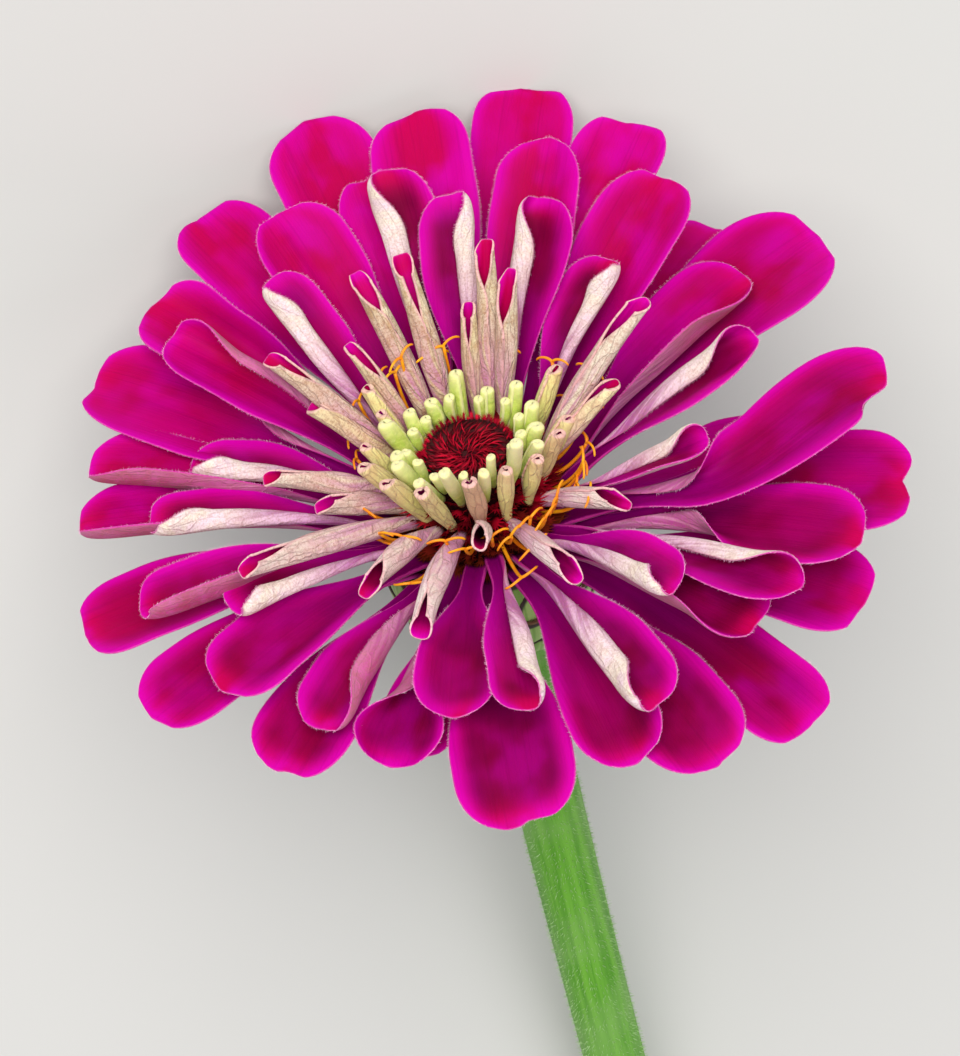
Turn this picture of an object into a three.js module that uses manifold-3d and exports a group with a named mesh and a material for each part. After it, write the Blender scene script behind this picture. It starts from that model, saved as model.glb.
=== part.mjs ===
// A picked zinnia bloom with its cut stem, lying on a flat surface.
// Millimetres, +Z up. The head is laid out upright in the flower's own frame and then laid down as one group.
// Flower frame: z runs up the stem's axis with 0 at the rim of the dark disc, azimuth 0 is at -y,
// and azimuths run counter-clockwise seen from above the bloom.
import * as THREE from "three";
import { mergeVertices } from "three/addons/utils/BufferGeometryUtils.js";
import Module from "manifold-3d";

const wasm = await Module();
wasm.setup();

// Driving dimensions
const gap = 0.3; // between pieces that touch
const bladeThickness = 0.7;
const clawThickness = 1.0; // of a ray at its root
const discRadius = 4.9;
const coreRadiusTop = 4.2;
const coreSlope = 0.36; // how much wider the core gets for each millimetre down
const cupDepth = 12.5;
const cupRadius = 11.4;
const stemLength = 112;
const stemRadius = 3.95;
const stemSides = 10;
const stemBow = 1.6; // how far the stem's lower end strays sideways
const stemFlare = 0.12; // how much wider it is under the cup, and the share of its length that this takes
const stemTaper = 0.06; // how much narrower its cut end is

// The rings round the core from which the rays spring, from the disc down: top, bottom, wall
// and how deep a root goes into it.
const collars = {
  buds: { top: -0.5, bottom: -3.2, wall: 1.1, sink: 0.4 },
  rolled: { top: -3.5, bottom: -6.3, wall: 1.6, sink: 0.5 },
  styles: { top: -6.7, bottom: -7.4, wall: 1.2, sink: 0.6 },
  open: { top: -7.7, bottom: -13.3, wall: 1.9, sink: 0.9 },
};
const cupTop = -13.6;

// A ray's claw is this share of its full width; the blade widens between these shares of its length.
const clawShare = 0.26;
const bladeStart = 0.14;
const bladeFull = 0.8;

// The two edges of a ray fold over less at its root and open again towards its end, between these shares.
const folding = { root: 0.2, from: 0.05, to: 0.4, openFrom: 0.74, opening: 0.45 };
const foldStart = 0.22; // share of the half width where an edge starts to fold over
const foldEnd = 0.62;
const sharpFold = 100; // degrees from which an edge takes more points across

// The end of a ray: its outline's power (2 is a half circle), how far the round runs, how much shorter
// the sides are than the middle, and the notch in it.
const rayEnd = { power: 2.4, round: 0.96, side: 0.02, notch: 0.012 };
const bladeRows = [0, 0.28, 0.58, 0.82, 0.95, 1];
const rootStagger = 0.35; // how far neighbouring roots sit above and below their whorl's height
const midribSteps = 24;
const sectionSteps = 12;

// Each whorl of open rays: where its roots sit, how steeply its rays rise at the sides,
// how much more they rise on the far side than on the near side, and their droop from root to tip.
const whorls = {
  outer: { rootZ: -11.4, rise: 15, sway: 20, arch: 34, cup: 16 },
  middle: { rootZ: -10.2, rise: 24, sway: 20, arch: 26, cup: 26 },
  folded: { rootZ: -9.0, rise: 33, sway: 19, arch: 20, cup: 34 },
};

// One row for each ray: azimuth, length, full width, then what it departs in from its whorl:
// extra rise, fold of its clockwise edge, fold of its counter-clockwise edge (degrees).
const outerRays = [
  [159, 43, 11, -2],
  [143, 40, 11.5, 3],
  [126, 34, 11.5, -6],
  [110, 39, 15, 1],
  [91, 35, 11.5, -6],
  [71, 38, 13],
  [53, 36, 13, 2],
  [37, 37, 11, -7],
  [24, 35, 11.5, 0],
  [356, 34, 13, 1],
  [337, 28, 11.5, -4],
  [318, 31, 11.5],
  [297, 34, 11, -2],
  [281, 36, 11, -4],
  [268, 35, 11, 3],
  [243, 37, 13, -2],
  [228, 36, 11.5, 0, 90, 0],
  [212, 40, 11.5, -3],
  [193, 43, 12.5, 1],
  [177, 40, 11.5, 3],
];
const middleRays = [
  [153, 35, 10],
  [129, 34, 12.5],
  [107, 31, 12, 0, 60, 0],
  [79, 37, 11, 0, 0, 50],
  [57, 36, 11, -2, 0, 60],
  [38, 31, 11, 0, 80, 0],
  [14, 32, 11, -5, 0, 70],
  [341, 30, 11, -9, 60, 60],
  [325, 27, 10, 0, 0, 120],
  [306, 29, 11, -3, 30, 30],
  [288, 31, 9, -2, 70, 70],
  [260, 34, 10, -8, 20, 60],
  [236, 31, 10, 0, 130, 0],
  [207, 33, 11, 0, 40, 0],
  [186, 33, 10, -1],
];
const foldedRays = [
  [186, 32, 10, 0, 30, 175],
  [168, 28, 9, 3, 175, 30],
  [150, 28, 10, 0, 30, 175],
  [127, 23, 9.5, 2, 180, 30],
  [89, 28, 9.5, 0, 30, 175],
  [70, 20, 8.5, 2, 40, 180],
  [46, 34, 9.5, -7, 30, 160],
  [32, 25, 9, 2, 175, 30],
  [19, 31, 10, -9, 160, 20],
  [1, 27, 8.5, -8, 20, 165],
  [347, 24, 10, -7, 70, 20],
  [299, 23, 9, -8, 20, 170],
  [274, 27.5, 8.5, -10, 20, 160],
  [257, 23, 8.5, -15, 20, 175],
  [223, 27, 9, 2, 20, 175],
];

// Rays still rolled up: azimuth, length, rise, droop, radius, root height.
const rolledRays = [
  [201, 21, 52, 16, 1.5, -5.6],
  [187, 21, 58, 14, 1.5, -5.4],
  [157, 21.5, 62, 10, 1.45, -5.4],
  [146, 18.5, 64, 8, 1.4, -5.0],
  [101, 22, 49, 14, 1.55, -5.6],
  [91, 13, 44, 10, 1.4, -5.0],
  [52, 12, 17, 26, 1.4, -5.6],
  [21, 15, 14, 26, 1.5, -5.7],
  [357, 14, 40, 22, 1.35, -5.6],
  [339, 18, 12, 24, 1.55, -5.7],
  [319, 14, 16, 26, 1.55, -5.7],
  [298, 23, 22, 14, 1.5, -5.6],
  [280, 10.5, 28, 14, 1.45, -5.6],
  [271, 16, 30, 14, 1.45, -5.4],
  [237, 20, 44, 14, 1.5, -5.6],
  [243, 13, 42, 14, 1.4, -5.0],
  [220, 14.5, 57, 8, 1.35, -4.6],
  [228, 10, 61, 6, 1.3, -4.6],
  [164, 14.5, 67, 4, 1.3, -4.8],
  [116, 9.5, 57, 4, 1.35, -4.8],
  [88, 7, 56, 6, 1.3, -4.8],
  [68, 8, 66, 6, 1.3, -4.8],
  [44, 8, 70, 8, 1.3, -4.8],
  [20, 9.5, 73, 6, 1.3, -4.8],
  [356, 11.5, 73, 8, 1.3, -4.8],
  [332, 11, 68, 10, 1.35, -4.8],
  [308, 10, 64, 10, 1.35, -4.8],
  [284, 9, 62, 10, 1.3, -4.8],
  [258, 7, 60, 6, 1.25, -4.8],
  [236, 7.5, 70, 4, 1.2, -4.6],
];

// Youngest rays: two rings of green buds round the disc.
const budRings = [
  { count: 15, rootZ: -2.3, length: 6.0, radius: 1.0, rise: 74, start: 8 },
  { count: 13, rootZ: -1.2, length: 3.2, radius: 0.7, rise: 82, start: 20 },
];
const budArch = -6;
const budChance = { seed: 11, turn: 0.16, length: 0.5, rise: 8, radius: 0.2 }; // how much the buds differ

// Rolled rays and buds: thin at the root, thickest in the middle, with a mouth at the end.
const rod = { root: 0.6, full: 0.45, narrowFrom: 0.5, narrowing: 0.22 };
const mouth = { share: 0.55, depth: 1.2, inner: 0.6, smallest: 0.6 }; // no mouth on an end under the smallest

// Styles: forked threads between the rays. One row for each: azimuth, rise, length, turn of its fork.
const styleRadius = 0.4;
const styleArm = 2.7;
const styleLift = 50; // degrees that a style turns upward along its stalk
const styleSpread = 35; // degrees between each arm and the stalk where they part
const styleCurl = 110; // degrees that an arm curls through
const armSteps = 3;
const threadSides = 3;
const styleRows = [
  [9, 14, 8.5, 0],
  [12, 44, 5.5, -25],
  [30, 45, 7, 0],
  [60, 42, 7, 25],
  [75, 44, 8, 0],
  [90, 38, 8, 0],
  [102, 36, 5, 20],
  [116, 38, 8.5, 0],
  [235, 36, 8, 0],
  [247, 40, 6.5, -10],
  [258, 36, 4, 10],
  [297, 20, 4.5, -10],
  [326, 16, 8.5, 0],
  [348, 42, 6, 25],
];

// Rows of overlapping bracts on the cup, from the innermost: tip and foot are shares of the cup's depth.
const bractRows = [
  { count: 11, tip: 0.0, foot: 0.45, proud: 0.45 },
  { count: 10, tip: 0.24, foot: 0.72, proud: 0.85 },
  { count: 8, tip: 0.5, foot: 0.94, proud: 1.2 },
];
const bractCut = 0.13; // how far the edge dips between two bracts
const bractSink = 0.9; // how deep a row goes into the cup
const bractPoints = 4; // round the cup, for each bract
const cupNeck = stemRadius + 0.9;

// The sunken disc from its rim inward, as pairs of radius and height, and the ridges of chaff on it
const discProfile = [
  [discRadius, 0.1],
  [discRadius - 1.3, 0.25],
  [discRadius - 2.9, -0.5],
  [discRadius - 4.2, -1.0],
];
const discMiddle = -1.3;
const chaff = { count: 16, height: 0.28, twist: 3, from: 0.5, full: 2.5 };

// How the bloom lies: the stem's slope to the surface and a turn about the stem.
const lean = 14.88;
const spin = -1.78;

const degree = Math.PI / 180;

// Seeded random numbers from 0 to 1.
function randomFrom(seed) {
  let state = seed;
  return () => {
    state = (state * 1664525 + 1013904223) % 4294967296;
    return state / 4294967296;
  };
}

// A smooth step from 0 at a to 1 at b.
function ease(a, b, x) {
  return THREE.MathUtils.smoothstep(x, a, b);
}

const coreRadius = (z) => coreRadiusTop - coreSlope * z;
const rootRadius = (z, collar) => coreRadius(z) + gap + collar.wall;

// The line a ray follows, as a function that gives the frame at a share q of its length.
function midrib(ray) {
  const steps = midribSteps;
  const azimuth = ray.azimuth * degree;
  const outward = new THREE.Vector3(Math.sin(azimuth), -Math.cos(azimuth), 0);
  const across = new THREE.Vector3(Math.cos(azimuth), Math.sin(azimuth), 0);
  const point = outward.clone().multiplyScalar(rootRadius(ray.rootZ, ray.collar) - ray.collar.sink);
  point.z = ray.rootZ;
  const frames = [];
  for (let i = 0; i <= steps; i++) {
    const rise = (ray.rise + ray.arch * (0.5 - i / steps)) * degree;
    const along = outward.clone().multiplyScalar(Math.cos(rise)).setZ(Math.sin(rise));
    const up = outward.clone().multiplyScalar(-Math.sin(rise)).setZ(Math.cos(rise));
    frames.push({ point: point.clone(), along, up });
    point.addScaledVector(along, ray.length / steps);
  }
  return (q) => {
    const at = THREE.MathUtils.clamp(q, 0, 1) * steps;
    const i = Math.min(Math.floor(at), steps - 1);
    const [a, b, t] = [frames[i], frames[i + 1], at - i];
    return {
      point: a.point.clone().lerp(b.point, t),
      along: a.along.clone().lerp(b.along, t).normalize(),
      across,
      up: a.up.clone().lerp(b.up, t).normalize(),
    };
  };
}

// Half the blade's width at a share q of its length: a narrow claw, a broad blade and a round end.
function halfWidth(ray, q) {
  const spread = clawShare + (1 - clawShare) * ease(bladeStart, bladeFull, q);
  const endShare = (0.5 * ray.width) / ray.length;
  const intoEnd = rayEnd.round * Math.max(0, 1 - (1 - q) / endShare);
  return (ray.width / 2) * spread * (1 - intoEnd ** rayEnd.power) ** (1 / rayEnd.power);
}

// The blade's cross-section at q: offsets across and up, and the surface's turn there.
function section(ray, q, v) {
  const edge = v > 0 ? ray.foldAhead : ray.foldBehind;
  const folded = folding.root + (1 - folding.root) * ease(folding.from, folding.to, q);
  const opened = folding.opening * ease(folding.openFrom, 1, q);
  const fold = Math.max(0, edge - ray.cup) * (folded - opened);
  let [across, up, angle] = [0, 0, 0];
  for (let i = 0; i < sectionSteps; i++) {
    const t = (Math.abs(v) * (i + 0.5)) / sectionSteps;
    angle = (ray.cup * t + fold * ease(foldStart, foldEnd, t)) * degree;
    across += (Math.cos(angle) * Math.abs(v)) / sectionSteps;
    up += (Math.sin(angle) * Math.abs(v)) / sectionSteps;
  }
  const half = halfWidth(ray, q);
  const sign = Math.sign(v);
  return { across: sign * across * half, up: up * half, angle: sign * angle };
}

// How far along a ray its rounded, faintly notched end lies, as a share of its length.
function reach(ray, v) {
  return 1 - rayEnd.side * v * v - ray.notch * (1 - Math.abs(v)) ** 2;
}

// Where a blade's points lie across it: closer together where an edge folds over.
function columnsOf(ray) {
  const side = (fold) => (fold > sharpFold ? [0.34, 0.66, 1] : [0.55, 1]);
  return [...side(ray.foldBehind).map((v) => -v).reverse(), 0, ...side(ray.foldAhead)];
}

// A closed solid with two faces of the same grid, a blade's thickness apart.
function bladeGeometry(ray) {
  const at = midrib(ray);
  const columns = columnsOf(ray);
  const [top, bottom] = [[], []];
  for (const u of bladeRows)
    for (const v of columns) {
      const q = u * (1 + (reach(ray, v) - 1) * u * u);
      const frame = at(q);
      const cut = section(ray, q, v);
      const middle = frame.point.clone();
      middle.addScaledVector(frame.across, cut.across).addScaledVector(frame.up, cut.up);
      const normal = frame.up.clone().multiplyScalar(Math.cos(cut.angle));
      normal.addScaledVector(frame.across, -Math.sin(cut.angle));
      const half = THREE.MathUtils.lerp(clawThickness, bladeThickness, ease(0, bladeRows[1], u)) / 2;
      top.push(middle.clone().addScaledVector(normal, half));
      bottom.push(middle.clone().addScaledVector(normal, -half));
    }
  return sheetGeometry(top, bottom, bladeRows.length - 1, columns.length - 1);
}

// A closed geometry from the grids of points of a sheet's upper and lower face.
function sheetGeometry(top, bottom, rows, columns) {
  const stride = columns + 1;
  const below = top.length;
  const faces = [];
  const quad = (a, b, c, d) => faces.push(a, b, c, a, c, d);
  for (let i = 0; i < rows; i++)
    for (let j = 0; j < columns; j++) {
      const [a, b] = [i * stride + j, (i + 1) * stride + j];
      const [c, d] = [b + 1, a + 1];
      quad(a, b, c, d);
      faces.push(below + a, below + c, below + b, below + a, below + d, below + c);
    }
  for (let i = 0; i < rows; i++) {
    const [a, b] = [i * stride, (i + 1) * stride];
    quad(a, below + a, below + b, b);
    const [c, d] = [a + columns, b + columns];
    quad(d, below + d, below + c, c);
  }
  for (let j = 0; j < columns; j++) {
    quad(j + 1, below + j + 1, below + j, j);
    const a = rows * stride + j;
    quad(a, below + a, below + a + 1, a + 1);
  }
  return geometryOf([...top, ...bottom], faces);
}

function geometryOf(points, faces) {
  const geometry = new THREE.BufferGeometry().setFromPoints(points);
  geometry.setIndex(faces);
  return geometry;
}

// A rolled ray: a bent rod, narrow at the root, with a hollow mouth.
function rodGeometry(ray, sides, rows) {
  const at = midrib(ray);
  const rings = [];
  for (let i = 0; i <= rows; i++) {
    const q = i / rows;
    const grown = rod.root + (1 - rod.root) * ease(0, rod.full, q);
    rings.push([q, ray.radius * (grown - rod.narrowing * ease(rod.narrowFrom, 1, q))]);
  }
  const tip = rings[rows][1];
  if (tip > mouth.smallest) {
    const rim = tip * mouth.share;
    rings.push([1, rim], [1 - mouth.depth / ray.length, rim * mouth.inner]);
  }
  return sweepGeometry(rings.map(([q, radius]) => ({ ...at(q), radius })), sides);
}

// A closed solid through a list of rings, each with a centre, two directions across and a radius.
function sweepGeometry(rings, sides) {
  const points = [];
  for (const ring of rings)
    for (let j = 0; j < sides; j++) {
      const angle = (2 * Math.PI * j) / sides;
      const point = ring.point.clone();
      point.addScaledVector(ring.across, ring.radius * Math.cos(angle));
      points.push(point.addScaledVector(ring.up, ring.radius * Math.sin(angle)));
    }
  const faces = [];
  for (let i = 0; i + 1 < rings.length; i++)
    for (let j = 0; j < sides; j++) {
      const next = (j + 1) % sides;
      const [a, b, c, d] = [i * sides + j, i * sides + next, (i + 1) * sides + next, (i + 1) * sides + j];
      faces.push(a, b, c, a, c, d);
    }
  const last = (rings.length - 1) * sides;
  for (let j = 1; j + 1 < sides; j++) {
    faces.push(0, j + 1, j);
    faces.push(last, last + j, last + j + 1);
  }
  return geometryOf(points, faces);
}

// A turned piece from pairs of radius and height.
function turned(profile, segments) {
  const points = profile.map(([radius, height]) => new THREE.Vector2(radius, height));
  return new THREE.LatheGeometry(points, segments).rotateX(Math.PI / 2);
}

// A closed geometry as a solid for joining and cutting.
function solidOf(geometry) {
  const bare = geometry.clone();
  bare.deleteAttribute("normal");
  bare.deleteAttribute("uv");
  const merged = mergeVertices(bare, 1e-4);
  const index = [];
  const source = merged.index.array;
  for (let i = 0; i < source.length; i += 3) {
    const [a, b, c] = [source[i], source[i + 1], source[i + 2]];
    if (a !== b && b !== c && c !== a) index.push(a, b, c);
  }
  const build = (order) =>
    new wasm.Manifold(
      new wasm.Mesh({
        numProp: 3,
        vertProperties: merged.attributes.position.array,
        triVerts: new Uint32Array(order),
      }),
    );
  const made = build(index);
  return made.volume() > 0 ? made : build(index.reverse());
}

function joined(geometries) {
  return wasm.Manifold.union(geometries.map(solidOf));
}

function meshOf(name, solid, colour, roughness) {
  const { numProp, vertProperties, triVerts } = solid.getMesh();
  const positions = new Float32Array((vertProperties.length / numProp) * 3);
  for (let i = 0; i < positions.length / 3; i++)
    positions.set(vertProperties.subarray(i * numProp, i * numProp + 3), i * 3);
  const geometry = new THREE.BufferGeometry();
  geometry.setAttribute("position", new THREE.BufferAttribute(positions, 3));
  geometry.setIndex(new THREE.BufferAttribute(new Uint32Array(triVerts), 1));
  geometry.computeVertexNormals();
  const material = new THREE.MeshStandardMaterial({ color: colour, roughness, metalness: 0 });
  const mesh = new THREE.Mesh(geometry, material);
  mesh.name = name;
  return mesh;
}

// The ring round the core from which a group of rays springs.
function collarGeometry(collar) {
  const inner = (z) => coreRadius(z) + gap;
  const profile = [
    [inner(collar.bottom), collar.bottom],
    [rootRadius(collar.bottom, collar), collar.bottom],
    [rootRadius(collar.top, collar), collar.top],
    [inner(collar.top), collar.top],
    [inner(collar.bottom), collar.bottom],
  ];
  return turned(profile, 16);
}

// An open ray from its row in a table and its whorl.
function openRay(whorl, [azimuth, length, width, extra = 0, behind = 0, ahead = 0], index) {
  return {
    azimuth,
    length: length + collars.open.sink,
    width,
    collar: collars.open,
    rootZ: whorl.rootZ + (index % 2 ? rootStagger : -rootStagger),
    rise: whorl.rise - whorl.sway * Math.cos(azimuth * degree) + extra,
    arch: whorl.arch,
    cup: whorl.cup,
    foldBehind: behind,
    foldAhead: ahead,
    notch: rayEnd.notch * (1 + (index % 3)),
  };
}

function allOpenRays() {
  const rows = [
    [whorls.outer, outerRays],
    [whorls.middle, middleRays],
    [whorls.folded, foldedRays],
  ];
  return rows.flatMap(([whorl, table]) => table.map((row, i) => openRay(whorl, row, i)));
}

function rolledRay([azimuth, length, rise, arch, radius, rootZ]) {
  const collar = collars.rolled;
  return { azimuth, length: length + collar.sink, rise, arch, radius, rootZ, collar };
}

function allBuds() {
  const random = randomFrom(budChance.seed);
  const about = (span) => 1 + span * (random() - 0.5);
  const buds = [];
  for (const ring of budRings)
    for (let i = 0; i < ring.count; i++)
      buds.push({
        azimuth: ring.start + ((i + budChance.turn * (random() - 0.5)) * 360) / ring.count,
        length: ring.length * about(budChance.length) + collars.buds.sink,
        rise: ring.rise - budChance.rise * random(),
        arch: budArch,
        radius: ring.radius * about(budChance.radius),
        rootZ: ring.rootZ,
        collar: collars.buds,
      });
  return buds;
}

function openMesh() {
  const blades = allOpenRays().map(bladeGeometry);
  blades.push(collarGeometry(collars.open));
  return meshOf("open_rays", joined(blades), 0xc4007e, 0.55);
}

function rolledMesh() {
  const rods = rolledRays.map((row) => rodGeometry(rolledRay(row), 6, 2));
  rods.push(collarGeometry(collars.rolled));
  return meshOf("rolled_rays", joined(rods), 0xd9c79a, 0.7);
}

function budMesh() {
  const rods = allBuds().map((bud) => rodGeometry(bud, 5, 2));
  rods.push(collarGeometry(collars.buds));
  return meshOf("bud_rays", joined(rods), 0xb8d95a, 0.6);
}

// A forked style: a thread that leans out between the rays and parts into two curled arms.
function styleGeometries([azimuth, rise, length, turn]) {
  const stalk = {
    azimuth,
    length: length + collars.styles.sink,
    rise,
    arch: -styleLift,
    rootZ: (collars.styles.top + collars.styles.bottom) / 2,
    collar: collars.styles,
  };
  const at = midrib(stalk);
  const tip = at(1);
  const rows = [0, 0.5, 1];
  const stalkRings = rows.map((q) => ({ ...at(q), radius: styleRadius }));
  // The fork is one thread: from the end of one arm through the stalk's tip to the end of the other.
  const ringAt = (point, heading) => {
    const across = tip.across.clone().multiplyScalar(Math.cos(heading));
    across.addScaledVector(tip.along, -Math.sin(heading));
    return { point: point.clone(), across, up: tip.up, radius: styleRadius };
  };
  const step = styleArm / armSteps;
  const arms = [-1, 1].map((side) => {
    const point = tip.point.clone();
    const rings = [];
    for (let i = 1; i <= armSteps; i++) {
      const bend = (side * (styleSpread + styleCurl * ((i - 0.5) / armSteps)) + turn) * degree;
      point.addScaledVector(tip.along, step * Math.cos(bend));
      point.addScaledVector(tip.across, step * Math.sin(bend));
      rings.push(ringAt(point, side > 0 ? bend : bend + Math.PI));
    }
    return rings;
  });
  const forkRings = [...arms[0].reverse(), ringAt(tip.point, (turn + 90) * degree), ...arms[1]];
  return [sweepGeometry(stalkRings, threadSides), sweepGeometry(forkRings, threadSides)];
}

function stylesMesh() {
  const threads = styleRows.flatMap(styleGeometries);
  threads.push(collarGeometry(collars.styles));
  return meshOf("styles", joined(threads), 0xe8921c, 0.5);
}

// The cone that carries every floret, with the sunken disc of dark chaff on top.
function receptacleMesh() {
  const base = cupTop + gap;
  const profile = [
    [0, base],
    [coreRadius(base), base],
    [coreRadius(collars.buds.top), collars.buds.top],
    [discRadius - 0.2, collars.buds.top + gap],
    ...discProfile,
    [0, discMiddle],
  ];
  const geometry = turned(profile, chaff.count * 2);
  const position = geometry.attributes.position;
  for (let i = 0; i < position.count; i++) {
    const [x, y, z] = [position.getX(i), position.getY(i), position.getZ(i)];
    const radius = Math.hypot(x, y);
    if (radius > chaff.from && z > collars.buds.top + gap / 2) {
      const ridge = Math.cos(Math.atan2(y, x) * chaff.count + radius * chaff.twist);
      position.setZ(i, z + chaff.height * ridge * ease(chaff.from, chaff.full, radius));
    }
  }
  return meshOf("receptacle", solidOf(geometry), 0x6b0a18, 0.8);
}

// The cup's outer radius at a share t of its depth.
function cupOuter(t) {
  return cupNeck + (cupRadius - cupNeck) * (1 - t ** 2.1) ** 0.55;
}

// One row of overlapping bracts: a shell round the cup whose upper edge is a row of round scales.
function bractRow({ count, tip, foot, proud }) {
  const around = count * bractPoints;
  const rows = 2;
  const loops = [];
  for (let j = 0; j < around; j++) {
    const scallop = Math.sin((Math.PI * (j % bractPoints)) / bractPoints) ** 0.6;
    const top = tip + bractCut * (1 - scallop);
    const angle = (2 * Math.PI * j) / around + count;
    const place = (radius, t) =>
      new THREE.Vector3(radius * Math.sin(angle), -radius * Math.cos(angle), cupTop - t * cupDepth);
    const loop = [];
    for (let i = 0; i <= rows; i++) {
      const t = THREE.MathUtils.lerp(foot, top, i / rows);
      loop.push(place(cupOuter(t) + proud * (0.5 + 0.5 * scallop) * ease(0, 0.6, i / rows), t));
    }
    loop.push(place(cupOuter(top) - bractSink, top), place(cupOuter(foot) - bractSink, foot));
    loops.push(loop);
  }
  return ringGeometry(loops);
}

// A closed ring-shaped solid from one closed loop of points for each step round the axis.
function ringGeometry(loops) {
  const size = loops[0].length;
  const faces = [];
  loops.forEach((loop, i) => {
    const next = ((i + 1) % loops.length) * size;
    for (let j = 0; j < size; j++) {
      const after = (j + 1) % size;
      faces.push(i * size + j, i * size + after, next + after);
      faces.push(i * size + j, next + after, next + j);
    }
  });
  return geometryOf(loops.flat(), faces);
}

function involucreMesh() {
  const steps = 5;
  const profile = [[0, cupTop]];
  for (let i = 0; i <= steps; i++) profile.push([cupOuter(i / steps), cupTop - (i / steps) * cupDepth]);
  profile.push([0, cupTop - cupDepth]);
  const pieces = bractRows.map(bractRow);
  pieces.push(turned(profile, 18));
  return meshOf("involucre", joined(pieces), 0x6f8f3a, 0.7);
}

function stemMesh() {
  const top = cupTop - cupDepth - gap;
  const rings = [];
  const steps = 8;
  for (let i = 0; i <= steps; i++) {
    const t = i / steps;
    rings.push({
      point: new THREE.Vector3(stemBow * t * t, 0, top - stemLength * t),
      across: new THREE.Vector3(1, 0, 0),
      up: new THREE.Vector3(0, 1, 0),
      radius: stemRadius * (1 + stemFlare * (1 - ease(0, stemFlare, t)) - stemTaper * t),
    });
  }
  return meshOf("stem", solidOf(sweepGeometry(rings, stemSides)), 0x6aa53c, 0.6);
}

const flower = new THREE.Group();
flower.add(receptacleMesh(), budMesh(), rolledMesh(), stylesMesh(), openMesh(), involucreMesh(), stemMesh());
flower.rotation.z = spin * degree;

// The bloom rests on two far rays and on the stem's cut end, with its face up and to the front.
const laid = new THREE.Group();
laid.add(flower);
laid.rotation.x = (lean - 90) * degree;
const bloom = new THREE.Group();
bloom.add(laid);
bloom.rotation.z = Math.PI;
const box = new THREE.Box3().setFromObject(bloom, true);
const middle = box.getCenter(new THREE.Vector3());
bloom.position.set(-middle.x, -middle.y, -box.min.z);

export default bloom;
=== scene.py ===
import math
import random

import bpy
import numpy as np
from mathutils import Matrix, Vector


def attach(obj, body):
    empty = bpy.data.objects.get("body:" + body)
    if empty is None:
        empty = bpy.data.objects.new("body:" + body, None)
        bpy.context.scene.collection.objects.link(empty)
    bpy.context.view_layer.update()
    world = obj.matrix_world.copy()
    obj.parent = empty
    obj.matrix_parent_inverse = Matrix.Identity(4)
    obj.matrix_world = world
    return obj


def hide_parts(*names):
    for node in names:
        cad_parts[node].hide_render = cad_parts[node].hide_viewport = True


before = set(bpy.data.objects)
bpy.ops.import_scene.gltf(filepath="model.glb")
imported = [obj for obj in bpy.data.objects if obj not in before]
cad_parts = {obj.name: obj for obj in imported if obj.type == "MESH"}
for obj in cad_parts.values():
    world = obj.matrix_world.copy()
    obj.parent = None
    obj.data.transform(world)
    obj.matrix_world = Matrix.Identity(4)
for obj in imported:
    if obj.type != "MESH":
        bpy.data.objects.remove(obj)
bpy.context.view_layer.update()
print("the packed solids are loaded")

# The flower is made upright in its own frame, in millimetres: z runs up the stem with 0 at the disc's rim,
# azimuth 0 is the near side and azimuths run counter-clockwise. It is then laid down as the solids are.
mm = 0.001
bloom = {
    "lean": 14.88,  # degrees between the stem and the surface
    "spin": -1.78,  # degrees about the stem
    "coneTop": 4.2,  # radius of the core that carries the florets, at the disc
    "coneSlope": 0.36,  # how much the core widens for each millimetre down
    "coneBase": -13.3,
    "gap": 0.3,  # between the core and what grows round it
    "cupTop": -13.6,
    "cupDepth": 12.5,
    "cupRadius": 11.4,
}
collars = {  # where each kind of ray springs from: wall round the core and how deep a root goes into it
    "buds": {"wall": 1.1, "sink": 0.4},
    "rolled": {"wall": 1.6, "sink": 0.5},
    "styles": {"wall": 1.2, "sink": 0.6},
    "open": {"wall": 1.9, "sink": 0.9},
}
upright = np.array([0, 0, 1.0])
turned = np.array(
    Matrix.Rotation(math.pi, 3, "Z")
    @ Matrix.Rotation(math.radians(bloom["lean"] - 90), 3, "X")
    @ Matrix.Rotation(math.radians(bloom["spin"]), 3, "Z")
)


def findOrigin():
    # the receptacle is round, so its own box gives the axis and the height of its base
    corners = np.array([vertex.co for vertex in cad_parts["receptacle"].data.vertices]) @ turned
    low, high = corners.min(0), corners.max(0)
    middle = (low + high) / 2
    return turned @ np.array([middle[0], middle[1], low[2] - bloom["coneBase"] * mm])


origin = findOrigin()


def laid(points):
    return np.asarray(points) @ turned.T * mm + origin


def ease(start, end, x):
    t = np.clip((np.asarray(x, float) - start) / (end - start), 0, 1)
    return t * t * (3 - 2 * t)


def blend(a, b, t):
    return a + (b - a) * t


def coneRadius(z):
    return bloom["coneTop"] - bloom["coneSlope"] * z


# Materials


def add(tree, kind, inputs=None, **settings):
    # makes a node whose inputs take a value or a link from another node
    made = tree.nodes.new(kind)
    for key, value in settings.items():
        setattr(made, key, value)
    for key, value in (inputs or {}).items():
        if isinstance(value, bpy.types.NodeSocket):
            tree.links.new(value, made.inputs[key])
        else:
            made.inputs[key].default_value = value
    return made


def attributes(tree, *names):
    # what a piece carries on its points; the grain is a place on its surface, in millimetres
    made = [add(tree, "ShaderNodeAttribute", attribute_name=name) for name in names]
    return [node.outputs["Vector" if node.attribute_name == "grain" else "Fac"] for node in made]


# The next ones add nodes to the tree that the value or vector they are given belongs to.


def maths(operation, *values):
    return add(values[0].id_data, "ShaderNodeMath", dict(enumerate(values)), operation=operation).outputs[0]


def times(*values):
    product = values[0]
    for value in values[1:]:
        product = maths("MULTIPLY", product, value)
    return product


def plus(a, b, share=1.0):
    return maths("MULTIPLY_ADD", b, share, a)


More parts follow.
